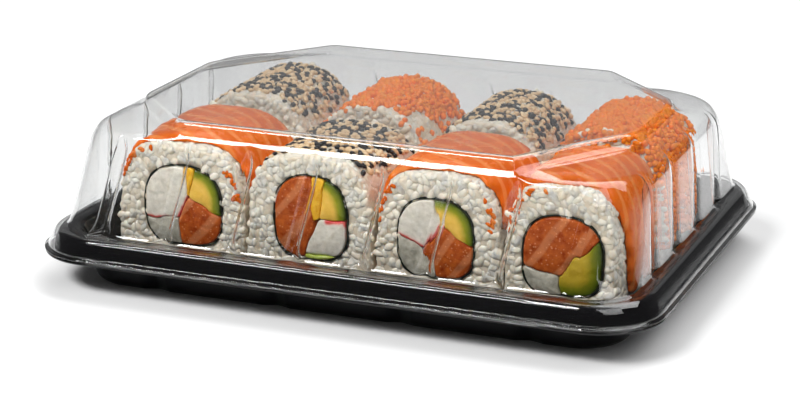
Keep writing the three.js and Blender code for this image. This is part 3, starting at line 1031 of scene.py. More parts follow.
# ---------------------------------------------------------------- food
# Where the fillings of each kind of roll are cut from one another: corners (u, v) from the core's middle.
CHAINS: dict[str, dict[str, tuple[Point, ...]]] = {
    "crab": {
        "surimi": ((-12, -4.4), (-1.8, -4), (2.1, 3.2), (0.2, 12)),
        "pickle": ((0.2, 12), (2.1, 3.4), (2.7, 3.4), (4.1, 12)),
        "avocado": ((4.1, 12), (2.5, 3.2), (11.6, -2)),
        "salmon": ((11.6, -2), (2.3, 3.2), (-1.8, -4), (-0.5, -12)),
        "cream": ((-0.5, -12), (-1.8, -4), (-12, -4.4)),
    },
    "salmon": {
        "salmon": ((-2.2, -12), (0.9, -1), (0, 12)),
        "pickle": ((0, 12), (0.9, -1), (3, -0.8), (4.7, 12)),
        "avocado": ((4.7, 12), (3, -0.8), (12, 0.2)),
        "surimi": ((12, 0.2), (3, -0.8), (0.45, -3.3), (-1.75, -10.6), (10, -10.6)),
        "cucumber": ((10, -10.6), (-1.7, -10.6), (-2, -12)),
    },
    "mixed": {
        "surimi": ((-12, 0.9), (-2.8, -2.9), (1.4, 3.9), (-0.7, 12)),
        "avocado": ((-0.7, 12), (1.4, 3.9), (12, -1.8)),
        "salmon": ((12, -1.8), (1.4, 3.9), (-2.8, -2.9), (0, -12)),
        "cream": ((0, -12), (-2.8, -2.9), (-12, 0.9)),
    },
    "belly": {
        "salmon": ((-12, -3.4), (-1.4, -5.6), (10.6, 5.9)),
        "avocado": ((10.6, 5.9), (-1.4, -5.6), (0.6, -12)),
        "cream": ((0.6, -12), (-1.4, -5.6), (-12, -3.4)),
    },
}

# The red edge of the crab stick in each kind of roll, as corners (u, v).
RED_LINES: dict[str, tuple[Point, ...]] = {
    "crab": ((-12, -4.4), (-1.8, -4), (2.1, 3.2)),
    "salmon": ((5, -0.6), (10.2, 0), (11.4, -2), (11.4, -6)),
    "mixed": ((-12, 0.9), (-2.8, -2.9), (1.4, 3.9)),
}


class Topping(Enum):
    """What lies on a roll."""

    SLICE = "slice"
    SESAME = "sesame"
    ROE = "roe"


@dataclass(frozen=True)
class Roll:
    """One inside-out roll, by its place in the tray and its outline.

    The core is (u, v, half width, half height) of the seaweed, u from x and v from the underside
    of the base. The span is where a slice starts and ends round the outline, the inset how far it
    stays from the back and the front, and the recess how far its front end falls back at its
    start. Bare is how far from the front the topping thins out, and streaks are where roe runs
    down the side.
    """

    name: str
    x: float
    front: float
    half_width: float
    arch: float
    filling: str
    core: tuple[float, float, float, float]
    topping: Topping
    height: float = 40.0
    span: tuple[float, float] = (0.0, 0.0)
    inset: tuple[float, float] = (0.0, 0.0)
    bare: float = 0.0
    recess: float = 2.4
    streaks: tuple[float, ...] = ()
    seed: int = 0

    @property
    def back(self) -> float:
        """Y of the back cut face."""
        return self.front + ROLL_LENGTH

    @property
    def middle(self) -> float:
        """Height of its middle above the underside of the base."""
        return FLOOR + GAP + RICE_LIFT + self.height / 2

    def rice(self, drawn_in: float, count: int) -> Array:
        """Outline of the rice.

        Args:
            drawn_in: How far it lies inside the roll's surface.
            count: Number of points.

        Returns:
            Points (x, z).
        """
        half_height = self.height / 2 - drawn_in
        loop = outline(self.half_width - drawn_in, half_height, self.arch, RICE_FOOT, count, RICE_SPLAY)
        return loop + (self.x, self.middle)

    def hole(self, grow: float, count: int) -> Array:
        """Outline of the seaweed sheet, grown by a distance, as points (x, z)."""
        u, v, half_u, half_v = self.core
        return outline(half_u + grow, half_v + grow, *CORE_ROUND, count) + (self.x + u, v)

    def random(self, part: int) -> Draws:
        """Repeatable random draws for one part of this roll."""
        return np.random.default_rng(1000 * self.seed + part)


def lift(points: Array, y: Any) -> Array:
    """Points (x, z) as points (x, y, z)."""
    return np.stack([points[:, 0], np.broadcast_to(y, len(points)), points[:, 1]], axis=1)


def inside(points: Array, loop: Array) -> Array:
    """Tell which points lie inside a closed outline.

    Args:
        points: The points.
        loop: The outline.

    Returns:
        True or False for each point.
    """
    x, y = points[:, 0:1], points[:, 1:2]
    x0, y0 = loop.T
    x1, y1 = np.roll(loop, -1, axis=0).T
    crosses = (y0 > y) != (y1 > y)
    at = x0 + (y - y0) / np.where(y1 == y0, TINY, y1 - y0) * (x1 - x0)
    return (crosses & (x < at)).sum(axis=1) % 2 == 1


def distance(points: Array, line: Array, closed: bool) -> Array:
    """Measure how far points lie from a line.

    Args:
        points: The points.
        line: Corners of the line.
        closed: Whether its last corner runs on to the first.

    Returns:
        A distance for each point.
    """
    start = line if closed else line[:-1]
    step = (np.roll(line, -1, axis=0) if closed else line[1:]) - start
    best = np.full(len(points), np.inf)
    for a, d in zip(start, step):
        share = np.clip(((points - a) @ d) / max(d @ d, TINY), 0, 1)[:, None]
        best = np.minimum(best, np.linalg.norm(points - a - share * d, axis=1))
    return best


def cut_off(loop: list[Point], start: Point, end: Point) -> list[Point]:
    """Cut a closed outline along a straight line and keep what lies to its left.

    Args:
        loop: Points of the outline.
        start: A point of the line.
        end: Another one, further along it.

    Returns:
        Points of the part that is kept.
    """
    side = [(u - start[0]) * (start[1] - end[1]) + (v - start[1]) * (end[0] - start[0]) for u, v in loop]
    kept = []
    for i, (u, v) in enumerate(loop):
        following = (i + 1) % len(loop)
        next_u, next_v = loop[following]
        here, there = side[i], side[following]
        if here >= 0:
            kept.append((u, v))
        if here * there < 0:
            share = here / (here - there)
            kept.append((u + (next_u - u) * share, v + (next_v - v) * share))
    return kept


@dataclass
class RiceBed:
    """The pressed rice of a roll below its loose grains, with its sunk, knobbly surface."""

    roll: Roll
    sunk: float = 0.42
    around: int = 200
    stations: int = 14
    sheet_gap: float = 0.1
    face_depth: float = 0.5
    face_shares: tuple[float, ...] = (0.0, 0.25, 0.5, 0.75, 0.94)
    edge_depth: float = 1.2
    edge_share: float = 0.985
    edge_run: float = 2.8
    knob_size: float = 2.3
    knob_height: float = 0.45

    def build(self, material: Material) -> None:
        """Model the bed as a closed sleeve round the seaweed and dress it.

        Args:
            material: Its finish.
        """
        roll = self.roll
        outer = roll.rice(self.sunk, self.around)
        middle = outer.mean(axis=0)
        hole = roll.hole(self.sheet_gap, self.around)
        face = [lift(hole + (outer - hole) * share, self.face_depth) for share in self.face_shares]
        face.append(lift(middle + (outer - middle) * self.edge_share, self.edge_depth))
        front = [points + (0, roll.front, 0) for points in face]
        back = [points * (1, -1, 1) + (0, roll.back, 0) for points in face[::-1]]
        places = np.linspace(roll.front + self.edge_run, roll.back - self.edge_run, self.stations)
        points = np.array([*front, *(lift(outer, y) for y in places), *back])
        knobs = relief(points, self.knob_size, roll.seed)[..., None] * self.knob_height
        pull = points - np.append(middle, 0)[[0, 2, 1]]
        pull[..., 1] = 0
        pull /= np.maximum(np.linalg.norm(pull, axis=2, keepdims=True), TINY)
        pull[: len(front)] = (0, -1, 0)
        pull[-len(back) :] = (0, 1, 0)
        knobs[0] = knobs[-1] = 0
        made, _ = lofted(f"{roll.name}_rice_bed", points + pull * knobs, "joined")
        dress(made, material, "rice", f"{roll.name}_rice")


@dataclass(frozen=True)
class Morsel:
    """A small shape that is modelled once and scattered many times, by its half sizes."""

    long: float
    wide: float
    thick: float
    taper: float = 0.0
    bend: float = 0.0
    segments: int = 8
    rows: int = 5
    bend_rest: float = 0.4

    def template(self) -> tuple[Array, list[tuple[int, ...]]]:
        """Model the shape from a sphere primitive, long axis along X.

        Returns:
            Its points in millimetres and its faces.
        """
        deselect()
        bpy.ops.mesh.primitive_uv_sphere_add(segments=self.segments, ring_count=self.rows, radius=1.0)
        made = bpy.context.object
        bpy.ops.object.mode_set(mode="EDIT")
        bpy.ops.mesh.select_all(action="SELECT")
        bpy.ops.transform.rotate(value=math.pi / 2, orient_axis="Y", center_override=(0, 0, 0))
        bpy.ops.transform.resize(value=(self.long, self.wide, self.thick), center_override=(0, 0, 0))
        bpy.ops.object.mode_set(mode="OBJECT")
        points = np.array([v.co[:] for v in made.data.vertices])
        share = points[:, 0] / self.long
        points[:, 1:] *= (1 - self.taper * share)[:, None]
        points[:, 1] += self.bend * (share**2 - self.bend_rest)
        faces = [tuple(f.vertices) for f in made.data.polygons]
        bpy.data.objects.remove(made)
        return points, faces


SIZE_RANGE = (0.88, 1.12)
AXIS_RANGE = (0.92, 1.08)
RISE_RANGE = (0.6, 1.4)
STEEP_RANGE = (45, 90)
CELL_FILL = 0.42


@dataclass
class Spots:
    """Where the copies of a morsel go: middles, outward directions, long axes, sizes and tints."""

    at: Array
    out: Array
    along: Array
    size: Array
    tint: Array

    @classmethod
    def laid(
        cls,
        at: Array,
        out: Array,
        draw: Draws,
        morsel: Morsel,
        proud: float,
        tilt: float = 0.0,
        steep: float = 0.0,
    ) -> Spots:
        """Lay morsels on a surface, each turned at random and standing out about as far.

        Args:
            at: Points of the surface.
            out: Its outward directions there.
            draw: Random draws.
            morsel: What is laid.
            proud: How far a morsel stands out of the surface.
            tilt: Usual tilt out of the surface, in degrees.
            steep: Share of the morsels that stand nearly upright.

        Returns:
            The spots.
        """
        count = len(at)
        helper = np.where(np.abs(out[:, 1:2]) > 0.9, (1.0, 0, 0), (0, 1.0, 0))
        first = np.cross(out, helper)
        first /= np.linalg.norm(first, axis=1, keepdims=True)
        second = np.cross(out, first)
        turn = draw.uniform(0, math.tau, count)[:, None]
        flat = first * np.cos(turn) + second * np.sin(turn)
        lean = np.radians(draw.normal(0, tilt, count))
        upright = draw.random(count) < steep
        lean = np.where(upright, np.radians(draw.uniform(*STEEP_RANGE, count)), lean)[:, None]
        along = flat * np.cos(lean) + out * np.sin(lean)
        normal = out * np.cos(lean) - flat * np.sin(lean)
        size = draw.uniform(*SIZE_RANGE, (count, 1)) * draw.uniform(*AXIS_RANGE, (count, 3))
        height = np.hypot(morsel.long * np.sin(lean), morsel.thick * np.cos(lean)) * size[:, :1]
        rise = proud * draw.uniform(*RISE_RANGE, (count, 1))
        return cls(at + out * (rise - height), normal, along, size, draw.random(count))

    @classmethod
    def joined(cls, groups: Sequence[Spots]) -> Spots:
        """All the spots of several groups."""
        return cls(*(np.concatenate([getattr(one, part.name) for one in groups]) for part in fields(cls)))

    def keep(self, which: Array) -> Spots:
        """Only some of the spots."""
        return Spots(*(getattr(self, part.name)[which] for part in fields(self)))


def strew(name: str, morsel: Morsel, spots: Spots) -> Piece:
    """Copy a morsel onto its spots as one mesh.

    Args:
        name: Name of the piece.
        morsel: What is copied.
        spots: Where the copies go.

    Returns:
        The piece, with each copy's tint as an attribute.
    """
    points, faces = morsel.template()
    side = np.cross(spots.out, spots.along)
    axes = np.stack([spots.along, side, spots.out], axis=1) * spots.size[:, :, None]
    at = spots.at[:, None, :] + np.einsum("pi,kij->kpj", points, axes)
    count = len(points)
    every = [tuple(i + n * count for i in f) for n in range(len(spots.at)) for f in faces]
    mesh = bpy.data.meshes.new(name)
    mesh.from_pydata((at.reshape(-1, 3) * MM).tolist(), [], every)
    made = bpy.data.objects.new(name, mesh)
    bpy.context.scene.collection.objects.link(made)
    smooth(made)
    note(made, "tint", np.repeat(spots.tint, count))
    return made


def cells(width: float, height: float, size: float, draw: Draws) -> Array:
    """Spread points over a rectangle, one at random in each cell of a grid.

    Args:
        width: Width of the rectangle.
        height: Its height.
        size: Size of a cell.
        draw: Random draws.

    Returns:
        The points.
    """
    across, up = max(int(width / size), 1), max(int(height / size), 1)
    grid = np.stack(np.meshgrid(np.arange(across), np.arange(up)), axis=-1).reshape(-1, 2)
    grid = grid + 0.5 + draw.uniform(-CELL_FILL, CELL_FILL, grid.shape)
    return grid / (across, up) * (width, height)


@dataclass
class Cover:
    """Everything loose on a roll's rice: grains, and sesame seeds, fish roe or shreds of salmon.

    A cell is the usual distance between neighbours in millimetres, a reach a share of the way
    round the roll, and a share or chance how many of the morsels are kept.
    """

    roll: Roll
    grain: Morsel = Morsel(2.5, 1.3, 1.1, 0.05, 0.15, 7, 4)
    seed: Morsel = Morsel(1.08, 0.86, 0.62, 0.2)
    egg: Morsel = Morsel(0.96, 0.96, 0.96, segments=8, rows=6)
    shred: Morsel = Morsel(1.0, 0.6, 0.4, 0.25, 0.2, 6)
    grain_cell: float = 1.95
    face_cell: float = 1.75
    seed_cell: float = 1.66
    egg_cell: float = 1.5
    fringe_cell: float = 1.35
    shred_cell: float = 1.0
    edge_radius: float = 2.6
    edge_drop: float = 0.9
    around: int = 200
    closely: int = 480
    grain_sunk: float = 0.45
    face_size: float = 0.82
    seed_reach: float = 0.118
    seed_fray: float = 0.025
    seed_wave: float = 0.02
    seed_wave_size: float = 5.0
    bare_range: tuple[float, float] = (0.6, 1.3)
    seed_share: float = 0.94
    stray_reach: float = 0.2
    stray_share: float = 0.05
    black_share: float = 0.45
    egg_layers: tuple[tuple[float, float], ...] = ((0.55, 1.0), (0.75, 0.6), (1.2, 0.25))
    egg_reach: float = 0.2
    egg_fade: float = 0.11
    egg_least: float = 0.1
    egg_end: float = 0.3
    egg_wave: float = 0.035
    egg_wave_size: float = 6.0
    bare_reach: float = 0.17
    streak_half: float = 1.7
    streak_chance: float = 0.7
    side_chance: float = 0.5
    shred_shift: tuple[float, float] = (0.03, 0.02)
    shred_reach: float = 0.09
    shred_fade: float = 1.7
    shred_low: float = 5.0

    def skin(
        self,
        size: float,
        draw: Draws,
        low: float,
        high: float,
        edge: float,
        sunk: float = 0.0,
    ) -> tuple[Array, Array, Array]:
        """Spread points over the roll's outside.

        Args:
            size: Distance between the points.
            draw: Random draws.
            low: Where round the outline they start, 0 being the bottom middle.
            high: Where they end.
            edge: How far they stay from the cut faces.
            sunk: How far below the outside they lie.

        Returns:
            Points, outward directions and places round the outline.
        """
        roll = self.roll
        path = roll.rice(sunk, OUTLINE_STEPS)
        length = np.hypot(*np.diff(np.vstack([path, path[:1]]), axis=0).T).sum()
        found = cells((high - low) * length, ROLL_LENGTH - 2 * edge, size, draw)
        turn = low + found[:, 0] / length
        index = (turn * OUTLINE_STEPS).astype(int) % OUTLINE_STEPS
        away = outward(path)[index]
        at = np.stack([path[index, 0], roll.front + edge + found[:, 1], path[index, 1]], axis=1)
        return at, np.stack([away[:, 0], np.zeros(len(at)), away[:, 1]], axis=1), turn

    def rim(self, at: Array, out: Array) -> tuple[Array, Array]:
        """Roll points near the cut faces over the rounded edge of the rice.

        Args:
            at: Points on the outside.
            out: Their outward directions.

        Returns:
            The points and directions, moved.
        """
        at, out = at.copy(), out.copy()
        for face, sign in ((self.roll.front, -1.0), (self.roll.back, 1.0)):
            near = np.clip(1 - np.abs(at[:, 1] - face) / self.edge_radius, 0, 1)[:, None]
            at -= out * (1 - np.sqrt(1 - near**2)) * self.edge_radius * self.edge_drop
            out = out * np.sqrt(1 - near**2) + np.array((0, sign, 0)) * near
        return at, out / np.linalg.norm(out, axis=1, keepdims=True)

    def grains(self, material: Material) -> None:
        """Lay the rice grains over the outside and both cut faces.

        Args:
            material: Their finish.
        """
        roll, draw = self.roll, self.roll.random(1)
        sunk = 0.0 if roll.topping is Topping.SLICE else self.grain_sunk
        at, out, _ = self.skin(self.grain_cell, draw, low=0.1, high=0.9, edge=0.9, sunk=sunk)
        at, out = self.rim(at, out)
        parts = [Spots.laid(at, out, draw, self.grain, proud=0.24, tilt=8)]
        border = roll.rice(0.0, self.around)
        low, high = border.min(axis=0), border.max(axis=0)
        within, hole = roll.rice(0.9, self.around), roll.hole(0.35, self.around)
        for face, sign in ((roll.front, -1.0), (roll.back, 1.0)):
            found = low + cells(*(high - low), self.face_cell, draw)
            found = found[inside(found, within) & ~inside(found, hole)]
            faces = np.tile((0.0, sign, 0.0), (len(found), 1))
            cut = Spots.laid(lift(found, face), faces, draw, self.grain, proud=0.14, tilt=9, steep=0.2)
            cut.size[:, 0] *= self.face_size
            parts.append(cut)
        made = strew(f"{roll.name}_rice_grains", self.grain, Spots.joined(parts))
        dress(made, material, "rice", f"{roll.name}_rice")

    def fringe(self, size: float, draw: Draws, depth: float) -> tuple[Array, Array, Array]:
        """Spread points over the front cut face, near its outline.

        Args:
            size: Distance between the points.
            draw: Random draws.
            depth: How far from the outline they go.

        Returns:
            Points (x, z), places round the outline and distances from it.
        """
        path = self.roll.rice(0.0, self.closely)
        low, high = path.min(axis=0), path.max(axis=0)
        found = low + cells(*(high - low), size, draw)
        outer, inner = self.roll.rice(0.5, self.around), self.roll.rice(depth, self.around)
        found = found[inside(found, outer) & ~inside(found, inner)]
        gaps = np.linalg.norm(found[:, None, :] - path[None, :, :], axis=2)
        return found, gaps.argmin(axis=1) / len(path), gaps.min(axis=1)

    def shreds(self, material: Material) -> None:
        """Leave small shreds of the slice on the cut face, most of them near its two ends.

        Args:
            material: Finish of the slice.
        """
        roll, draw = self.roll, self.roll.random(4)
        found, turn, deep = self.fringe(self.shred_cell, draw, depth=4.0)
        start, end = roll.span
        after, before = self.shred_shift
        close = np.minimum(np.abs(turn - start - after), np.abs(turn - end + before))
        chance = np.clip(1 - close / self.shred_reach, 0, 1) * np.clip(1.5 - deep / self.shred_fade, 0, 1)
        kept = (draw.random(len(found)) < chance) & (found[:, 1] > roll.middle + self.shred_low)
        at = lift(found[kept], roll.front)
        out = np.tile((0.0, -1.0, 0.0), (len(at), 1))
        spots = Spots.laid(at, out, draw, self.shred, proud=0.3, tilt=12)
        made = strew(f"{roll.name}_salmon_shreds", self.shred, spots)
        dress(made, material, "salmon", f"{roll.name}_slice")

    def sesame(self, tan: Material, black: Material) -> None:
        """Sprinkle pale and black sesame seeds over the top.

        Args:
            tan: Finish of the pale seeds.
            black: Finish of the black seeds.
        """
        roll, draw = self.roll, self.roll.random(2)
        at, out, turn = self.skin(self.seed_cell, draw, low=0.27, high=0.73, edge=0.3)
        at, out = self.rim(at, out)
        away = np.abs(turn - 0.5) + self.seed_wave * relief(at, self.seed_wave_size, roll.seed)
        reach = self.seed_reach + self.seed_fray * draw.random(len(at))
        kept = (away < reach) & (draw.random(len(at)) < self.seed_share)
        kept |= (away < self.stray_reach) & (draw.random(len(at)) < self.stray_share)
        kept &= at[:, 1] > roll.front + roll.bare * draw.uniform(*self.bare_range, len(at))
        spots = Spots.laid(at, out, draw, self.seed, proud=0.6, tilt=15).keep(kept)
        dark = draw.random(len(spots.at)) < self.black_share
        for name, material, which in (("tan", tan, ~dark), ("black", black, dark)):
            made = strew(f"{roll.name}_sesame_{name}", self.seed, spots.keep(which))
            dress(made, material, "rice", f"{roll.name}_rice")

    def roe(self, material: Material) -> None:
        """Coat the top with fish roe, thinning out down the sides.

        Args:
            material: Its finish.
        """
        roll, draw = self.roll, self.roll.random(3)
        parts = []
        for proud, share in self.egg_layers:
            at, out, turn = self.skin(self.egg_cell, draw, low=0.17, high=0.83, edge=0.2)
            depth = at[:, 1] - roll.front
            at, out = self.rim(at, out)
            away = np.abs(turn - 0.5) + self.egg_wave * relief(at, self.egg_wave_size, roll.seed)
            front = np.clip(1 - depth / max(roll.bare, 0.1), 0, 1)
            chance = (self.egg_reach - away - self.bare_reach * front**1.2) / self.egg_fade
            chance = np.clip(chance, self.egg_least, 1) * (away < self.egg_end)
            for streak in roll.streaks:
                strip = np.abs(depth - streak) < self.streak_half
                coated = np.where(strip, self.streak_chance, self.side_chance) * (turn < 0.5)
                chance = np.maximum(chance, coated)
            kept = draw.random(len(at)) < chance * share
            parts.append(Spots.laid(at, out, draw, self.egg, proud).keep(kept))
        if not roll.bare:
            found, turn, deep = self.fringe(self.fringe_cell, draw, depth=7.0)
            kept = (draw.random(len(found)) < 1.3 - deep / 5) & (np.abs(turn - 0.5) < 0.19)
            at = lift(found[kept], roll.front)
            out = np.tile((0.0, -1.0, 0.0), (len(at), 1))
            parts.append(Spots.laid(at, out, draw, self.egg, proud=0.7))
        made = strew(f"{roll.name}_roe", self.egg, Spots.joined(parts))
        dress(made, material, "rice", f"{roll.name}_rice")


@dataclass
class SeaweedSheet:
    """The seaweed round a roll's fillings, with its thin wavy edge at the cut faces."""

    roll: Roll
    around: int = 160
    stations: tuple[float, ...] = (-0.05, 0.5, 4.0, 14.0)
    outer_gap: float = -0.05
    inner_gap: float = -0.27
    wave_size: float = 2.8
    wave_across: float = 0.24
    wave_along: float = 0.22
    smooth_angle: float = 50.0

    def build(self, material: Material) -> None:
        """Model the sheet as a closed ring and dress it.

        Args:
            material: Its finish.
        """
        roll = self.roll
        near = np.array(self.stations)
        stations = np.concatenate([near, ROLL_LENGTH - near[::-1]])
        outer = [lift(roll.hole(self.outer_gap, self.around), roll.front + y) for y in stations]
        inner = [lift(roll.hole(self.inner_gap, self.around), roll.front + y) for y in stations[::-1]]
        points = np.array([*outer, *inner])
        wave = relief(np.array(outer), self.wave_size, roll.seed + 5)
        both = np.concatenate([wave, wave[::-1]])
        points[..., 0] += self.wave_across * both
        points[..., 2] += self.wave_across * np.roll(both, 7, axis=1)
        points[..., 1] += self.wave_along * np.roll(both, 11, axis=1)
        made, _ = lofted(f"{roll.name}_seaweed", points, "joined")
        smooth(made, self.smooth_angle)
        dress(made, material, "seaweed", f"{roll.name}_nori")


@dataclass
class Filling:
    """One filling of a roll, cut along its inner edges, with a soft domed cut face.

    Stick is how far it stands out at least, and how much more at most. Fine and broad are the
    size and the height of the two reliefs of the cut face.
    """

    roll: Roll
    kind: str
    bulge: float = 0.5
    dome: float = 2.4
    stick: tuple[float, float] = (0.1, 0.3)
    fine: tuple[float, float] = (1.7, 0.14)
    broad: tuple[float, float] = (4.5, 0.16)
    sway: float = 1.8
    sway_size: float = 6.5
    spacing: float = 2.2
    sunk_edge: float = 0.45
    places: tuple[float, ...] = (4.0, 20.0, ROLL_LENGTH - 4.0)
    face_shares: tuple[float, ...] = (0.1, 0.3, 0.5, 0.68, 0.82, 0.92, 0.975, 1.0)

    def bound(self, count: int) -> Array:
        """The inside of the seaweed, as points (u, v) from the core's middle."""
        _, _, half_u, half_v = self.roll.core
        return outline(half_u - NORI, half_v - NORI, *CORE_ROUND, count)

    def section(self) -> Array:
        """The filling's cut face, as evenly spaced points (u, v) from the core's middle.

        Returns:
            An array of points.
        """
        _, _, half_u, half_v = self.roll.core
        kept = self.bound(160).tolist()
        chain = CHAINS[self.roll.filling][self.kind]
        for start, end in zip(chain, chain[1:]):
            kept = cut_off(kept, start, end)
        loop = np.array(kept)
        girth = np.hypot(*np.diff(np.vstack([loop, loop[:1]]), axis=0).T).sum()
        loop = resampled(loop, max(4 * round(girth / self.spacing), 32))
        loop = eased(eased(loop, axis=0), axis=0)
        inward = 1 - np.clip(np.hypot(loop[:, 0] / half_u, loop[:, 1] / half_v), 0, 1) ** 4
        place = [Vector((u / self.sway_size, v / self.sway_size, self.roll.seed)) for u, v in loop]
        sway = np.array([[noise.noise(p), noise.noise(p + Vector((40, 0, 0)))] for p in place])
        return loop + self.sway * inward[:, None] * sway

    def build(self, material: Material, slot: str, part: int) -> None:
        """Model the filling and dress it.

        Args:
            material: Its finish.
            slot: Its material slot.
            part: Its number in the roll, for the random draws.
        """
        roll = self.roll
        loop = self.section()
        middle = loop.mean(axis=0)
        least, more = self.stick
        stick = least + more * roll.random(20 + part).random()
        shares = np.array(self.face_shares)
        rise = stick + self.bulge * (1 - shares**self.dome)
        rise[-2:] = (stick - 0.05, -self.sunk_edge)
        front = [lift(middle + (loop - middle) * s, roll.front - r) for s, r in zip(shares, rise)]
        along = [lift(loop, roll.front + y) for y in self.places]
        back = [lift(middle + (loop - middle) * s, roll.back + r) for s, r in zip(shares[::-1], rise[::-1])]
        points = np.array([*front, *along, *back])
        flat = points[..., [0, 2]].reshape(-1, 2)
        count = len(front) - 1
        (fine, low), (broad, high) = self.fine, self.broad
        bumps = relief(points, fine, roll.seed + part) * low + relief(points, broad, part) * high
        points[:count, :, 1] -= bumps[:count]
        points[-count:, :, 1] += bumps[-count:]
        u, v, _, _ = roll.core
        made, order = lofted(f"{roll.name}_{self.kind}_filling", points + (roll.x + u, 0, v))
        values = {"skin": distance(flat, self.bound(90), True)}
        line = RED_LINES.get(roll.filling)
        if self.kind == "surimi" and line:
            values["cut"] = distance(flat, np.array(line), False)
        for name, value in values.items():
            kept = np.empty(order.size)
            kept[order.ravel()] = value
            note(made, name, kept)
        dress(made, material, slot, f"{roll.name}_{self.kind}")


@dataclass
class DrapedSlice:
    """A slice of raw salmon that lies over a roll and hangs down its side."""

    roll: Roll
    steps: int = 56
    stations: int = 34
    wander: float = 0.010
    edge_power: int = 8
    edge_share: float = 0.12
    wave_size: float = 9.0
    wave: float = 0.16
    gap: float = 0.12
    gap_wave: float = 0.1
    ragged: float = 2.0

    def build(self, material: Material) -> None:
        """Model the slice as a closed body with thin rounded edges and dress it.

        Args:
            material: Its finish.
        """
        roll = self.roll
        start, end = roll.span
        count = 2 * OUTLINE_STEPS
        path = roll.rice(0.0, count)
        away = outward(path)
        across = 0.5 - 0.5 * np.cos(np.linspace(0, math.pi, self.steps))
        edge = np.sqrt(np.clip(1 - np.abs(2 * across - 1) ** self.edge_power, 0, 1))
        torn = np.array([noise.noise(Vector((k * 0.35, 3.3, roll.seed))) for k in range(self.steps)])
        rings = []
        for share in 0.5 - 0.5 * np.cos(np.linspace(0, math.pi, self.stations)):
            wander = [self.wander * noise.noise(Vector((share * 4, roll.seed, k))) for k in (1.5, 7.5)]
            turn = start + wander[0] + (end + wander[1] - start - wander[0]) * across
            index = (turn * count).astype(int) % count
            y = roll.front + roll.inset[1] + (ROLL_LENGTH - sum(roll.inset)) * (1 - share)
            close = math.sqrt(max(1 - abs(2 * share - 1) ** self.edge_power, 0))
            base = lift(path[index], y)
            wave = relief(base, self.wave_size, roll.seed + 3)
            full = self.edge_share + (1 - self.edge_share) * edge * close
            thick = SLICE * full * (1 + self.wave * wave)
            normal = np.stack([away[index, 0], np.zeros(self.steps), away[index, 1]], axis=1)
            pulled = self.ragged * torn + roll.recess * (1 - across) ** 2
            base[:, 1] += pulled * max(2 * share - 1, 0) ** 2
            lower = base + normal * (self.gap + self.gap_wave * wave)[:, None]
            upper = base + normal * (self.gap + thick)[:, None]
            rings.append(np.concatenate([lower, upper[::-1]]))
        made, _ = lofted(f"{roll.name}_salmon_slice", np.array(rings))
        dress(made, material, "salmon", f"{roll.name}_slice")


FRONT_ROW = -46.0
BACK_ROW = 4.0

ROLLS = (
    Roll(
        "roll_1", -52.1, FRONT_ROW, 19.7, 3.2, "crab", (1.3, 23.9, 12.3, 12), Topping.SLICE,
        span=(0.3, 0.645), inset=(1, 3.4), seed=1,
    ),
    Roll(
        "roll_2", -12, FRONT_ROW, 19, 3.2, "salmon", (0.9, 24.95, 11.3, 12.4), Topping.SESAME,
        height=40.8, bare=5, seed=2,
    ),
    Roll(
        "roll_3", 26.3, FRONT_ROW, 18, 3.2, "mixed", (-0.1, 23.2, 11.4, 11.7), Topping.SLICE,
        span=(0.3, 0.68), inset=(1, 3.4), seed=3,
    ),
    Roll(
        "roll_4", 61.4, FRONT_ROW, 15.8, 3.2, "belly", (1.15, 22.6, 11.55, 11.5), Topping.SLICE,
        span=(0.165, 0.63), inset=(1, 5.2), recess=7, seed=4,
    ),
    Roll(
        "roll_5", -53.2, BACK_ROW, 18.8, 2.4, "salmon", (0.5, 24, 11.8, 12), Topping.SESAME,
        height=42.6, bare=3, seed=5,
    ),
    Roll(
        "roll_6", -15, BACK_ROW, 18.3, 2.4, "crab", (0, 24, 11.6, 12), Topping.ROE,
        height=42, bare=24, seed=6,
    ),
    Roll(
        "roll_7", 22.2, BACK_ROW, 18, 2.4, "salmon", (0.4, 24, 11.6, 12), Topping.SESAME,
        height=41.2, bare=3, seed=7,
    ),
    Roll(
        "roll_8", 59, BACK_ROW, 17.8, 2.6, "mixed", (-0.4, 24, 11.4, 11.8), Topping.ROE,
        height=42, streaks=(2.5, 22.0), seed=8,
    ),
)


@dataclass
class Meal:
    """The eight rolls with all that is in and on them."""

    rolls: tuple[Roll, ...] = ROLLS

    def build(self) -> None:
        """Model what each roll is made of, then all that lies loose on it."""
        paint = {name: finish.surface().material for name, finish in FINISHES.items()}
        for roll in self.rolls:
            SeaweedSheet(roll).build(paint["seaweed"])
            for part, kind in enumerate(CHAINS[roll.filling]):
                slot, finish = SLOTS[kind]
                if (roll.filling, kind) == ("belly", "avocado"):
                    finish = "olive_avocado"
                Filling(roll, kind).build(paint[finish], slot, part)
            if roll.topping is Topping.SLICE:
                DrapedSlice(roll).build(paint["salmon_slice"])
            RiceBed(roll).build(paint["rice_bed"])
        for roll in self.rolls:
            cover = Cover(roll)
            cover.grains(paint["rice_grain"])
            if roll.topping is Topping.SESAME:
                cover.sesame(paint["sesame_tan"], paint["sesame_black"])
            elif roll.topping is Topping.ROE:
                cover.roe(paint["fish_roe"])
            else:
                cover.shreds(paint["salmon_slice"])


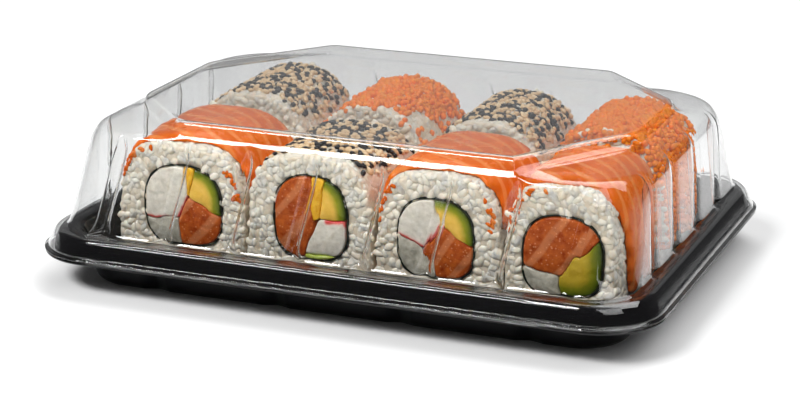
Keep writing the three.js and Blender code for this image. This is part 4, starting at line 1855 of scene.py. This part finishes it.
# ---------------------------------------------------------------- studio
@dataclass
class Studio:
    """Plain pale floor, soft boxes and the camera."""

    position: tuple[float, float, float] = (0.23857, -0.59359, 0.21988)
    azimuth: float = 21.94032
    elevation: float = 17.70142
    roll: float = -0.15
    lens: float = 102.25
    sensor: float = 36.0
    clip: tuple[float, float] = (0.01, 30.0)
    shift: float = -0.009375
    floor_size: float = 8.0
    floor_drop: float = 0.0002
    floor_tone: Colour = (0.83, 0.83, 0.83, 1.0)
    air: Colour = (0.06, 0.06, 0.062, 1.0)

    def camera(self) -> None:
        """Place the camera."""
        data = bpy.data.cameras.new("camera")
        data.lens, data.sensor_width, data.shift_x = self.lens, self.sensor, self.shift
        data.clip_start, data.clip_end = self.clip
        made = bpy.data.objects.new("camera", data)
        bpy.context.scene.collection.objects.link(made)
        a, e = math.radians(self.azimuth), math.radians(self.elevation)
        back = Vector((math.sin(a) * math.cos(e), -math.cos(a) * math.cos(e), math.sin(e)))
        right = Vector((math.cos(a), math.sin(a), 0))
        up = back.cross(right)
        turned = Matrix((right, up, back)).transposed().to_4x4()
        tilt = Matrix.Rotation(math.radians(self.roll), 4, "Z")
        made.matrix_world = Matrix.Translation(self.position) @ turned @ tilt
        bpy.context.scene.camera = made

    def soft_box(
        self,
        name: str,
        at: Sequence[float],
        size: tuple[float, float],
        power: float,
        aim: Sequence[float] = (0, 0, 0.02),
    ) -> None:
        """Hang one soft box, turned to face a point.

        Args:
            name: Its name.
            at: Its place, in metres.
            size: Its width and height.
            power: Its power in watts.
            aim: The point it faces.
        """
        data = bpy.data.lights.new(name, "AREA")
        data.shape, data.size, data.size_y, data.energy = "RECTANGLE", *size, power
        made = bpy.data.objects.new(name, data)
        bpy.context.scene.collection.objects.link(made)
        made.location = at
        made.rotation_euler = (Vector(at) - Vector(aim)).to_track_quat("Z", "Y").to_euler()

    def floor(self) -> None:
        """Lay the pale floor."""
        deselect()
        bpy.ops.mesh.primitive_plane_add(size=self.floor_size, location=(0, 0, -self.floor_drop))
        made = bpy.context.object
        made.name = made.data.name = "floor"
        surface = Surface("pale_floor", Roughness=0.9, Base_Color=self.floor_tone, Specular_IOR_Level=0.1)
        made.data.materials.append(surface.material)

    def build(self) -> None:
        """Set up the floor, the lamps, the surroundings and the camera."""
        self.floor()
        self.soft_box("above_front", at=(-0.36, -0.66, 0.79), size=(0.6, 0.22), power=10.5)
        self.soft_box("above_back", at=(0.22, 0.48, 1.1), size=(2.2, 0.7), power=16.8)
        self.soft_box("right_front", at=(0.75, -0.6, 0.85), size=(0.7, 0.7), power=4.4)
        self.soft_box("back_wall", at=(-0.8, 1.9, 0.62), size=(3.2, 1.2), power=2.1, aim=(0, 0, 0.3))
        world = bpy.data.worlds.new("surroundings")
        world.use_nodes = True
        world.node_tree.nodes["Background"].inputs["Color"].default_value = self.air
        bpy.context.scene.world = world
        bpy.context.scene.view_settings.view_transform = "Standard"
        self.camera()


def main() -> None:
    """Build the tray, the lid, the meal and the studio."""
    logging.basicConfig(level=logging.INFO, format="%(name)s %(message)s")
    BlackBase().build(BlackPlastic().surface().material)
    ClearLid().build(ClearPlastic().surface().material)
    Meal().build()
    Studio().build()


if __name__ == "__main__":
    main()
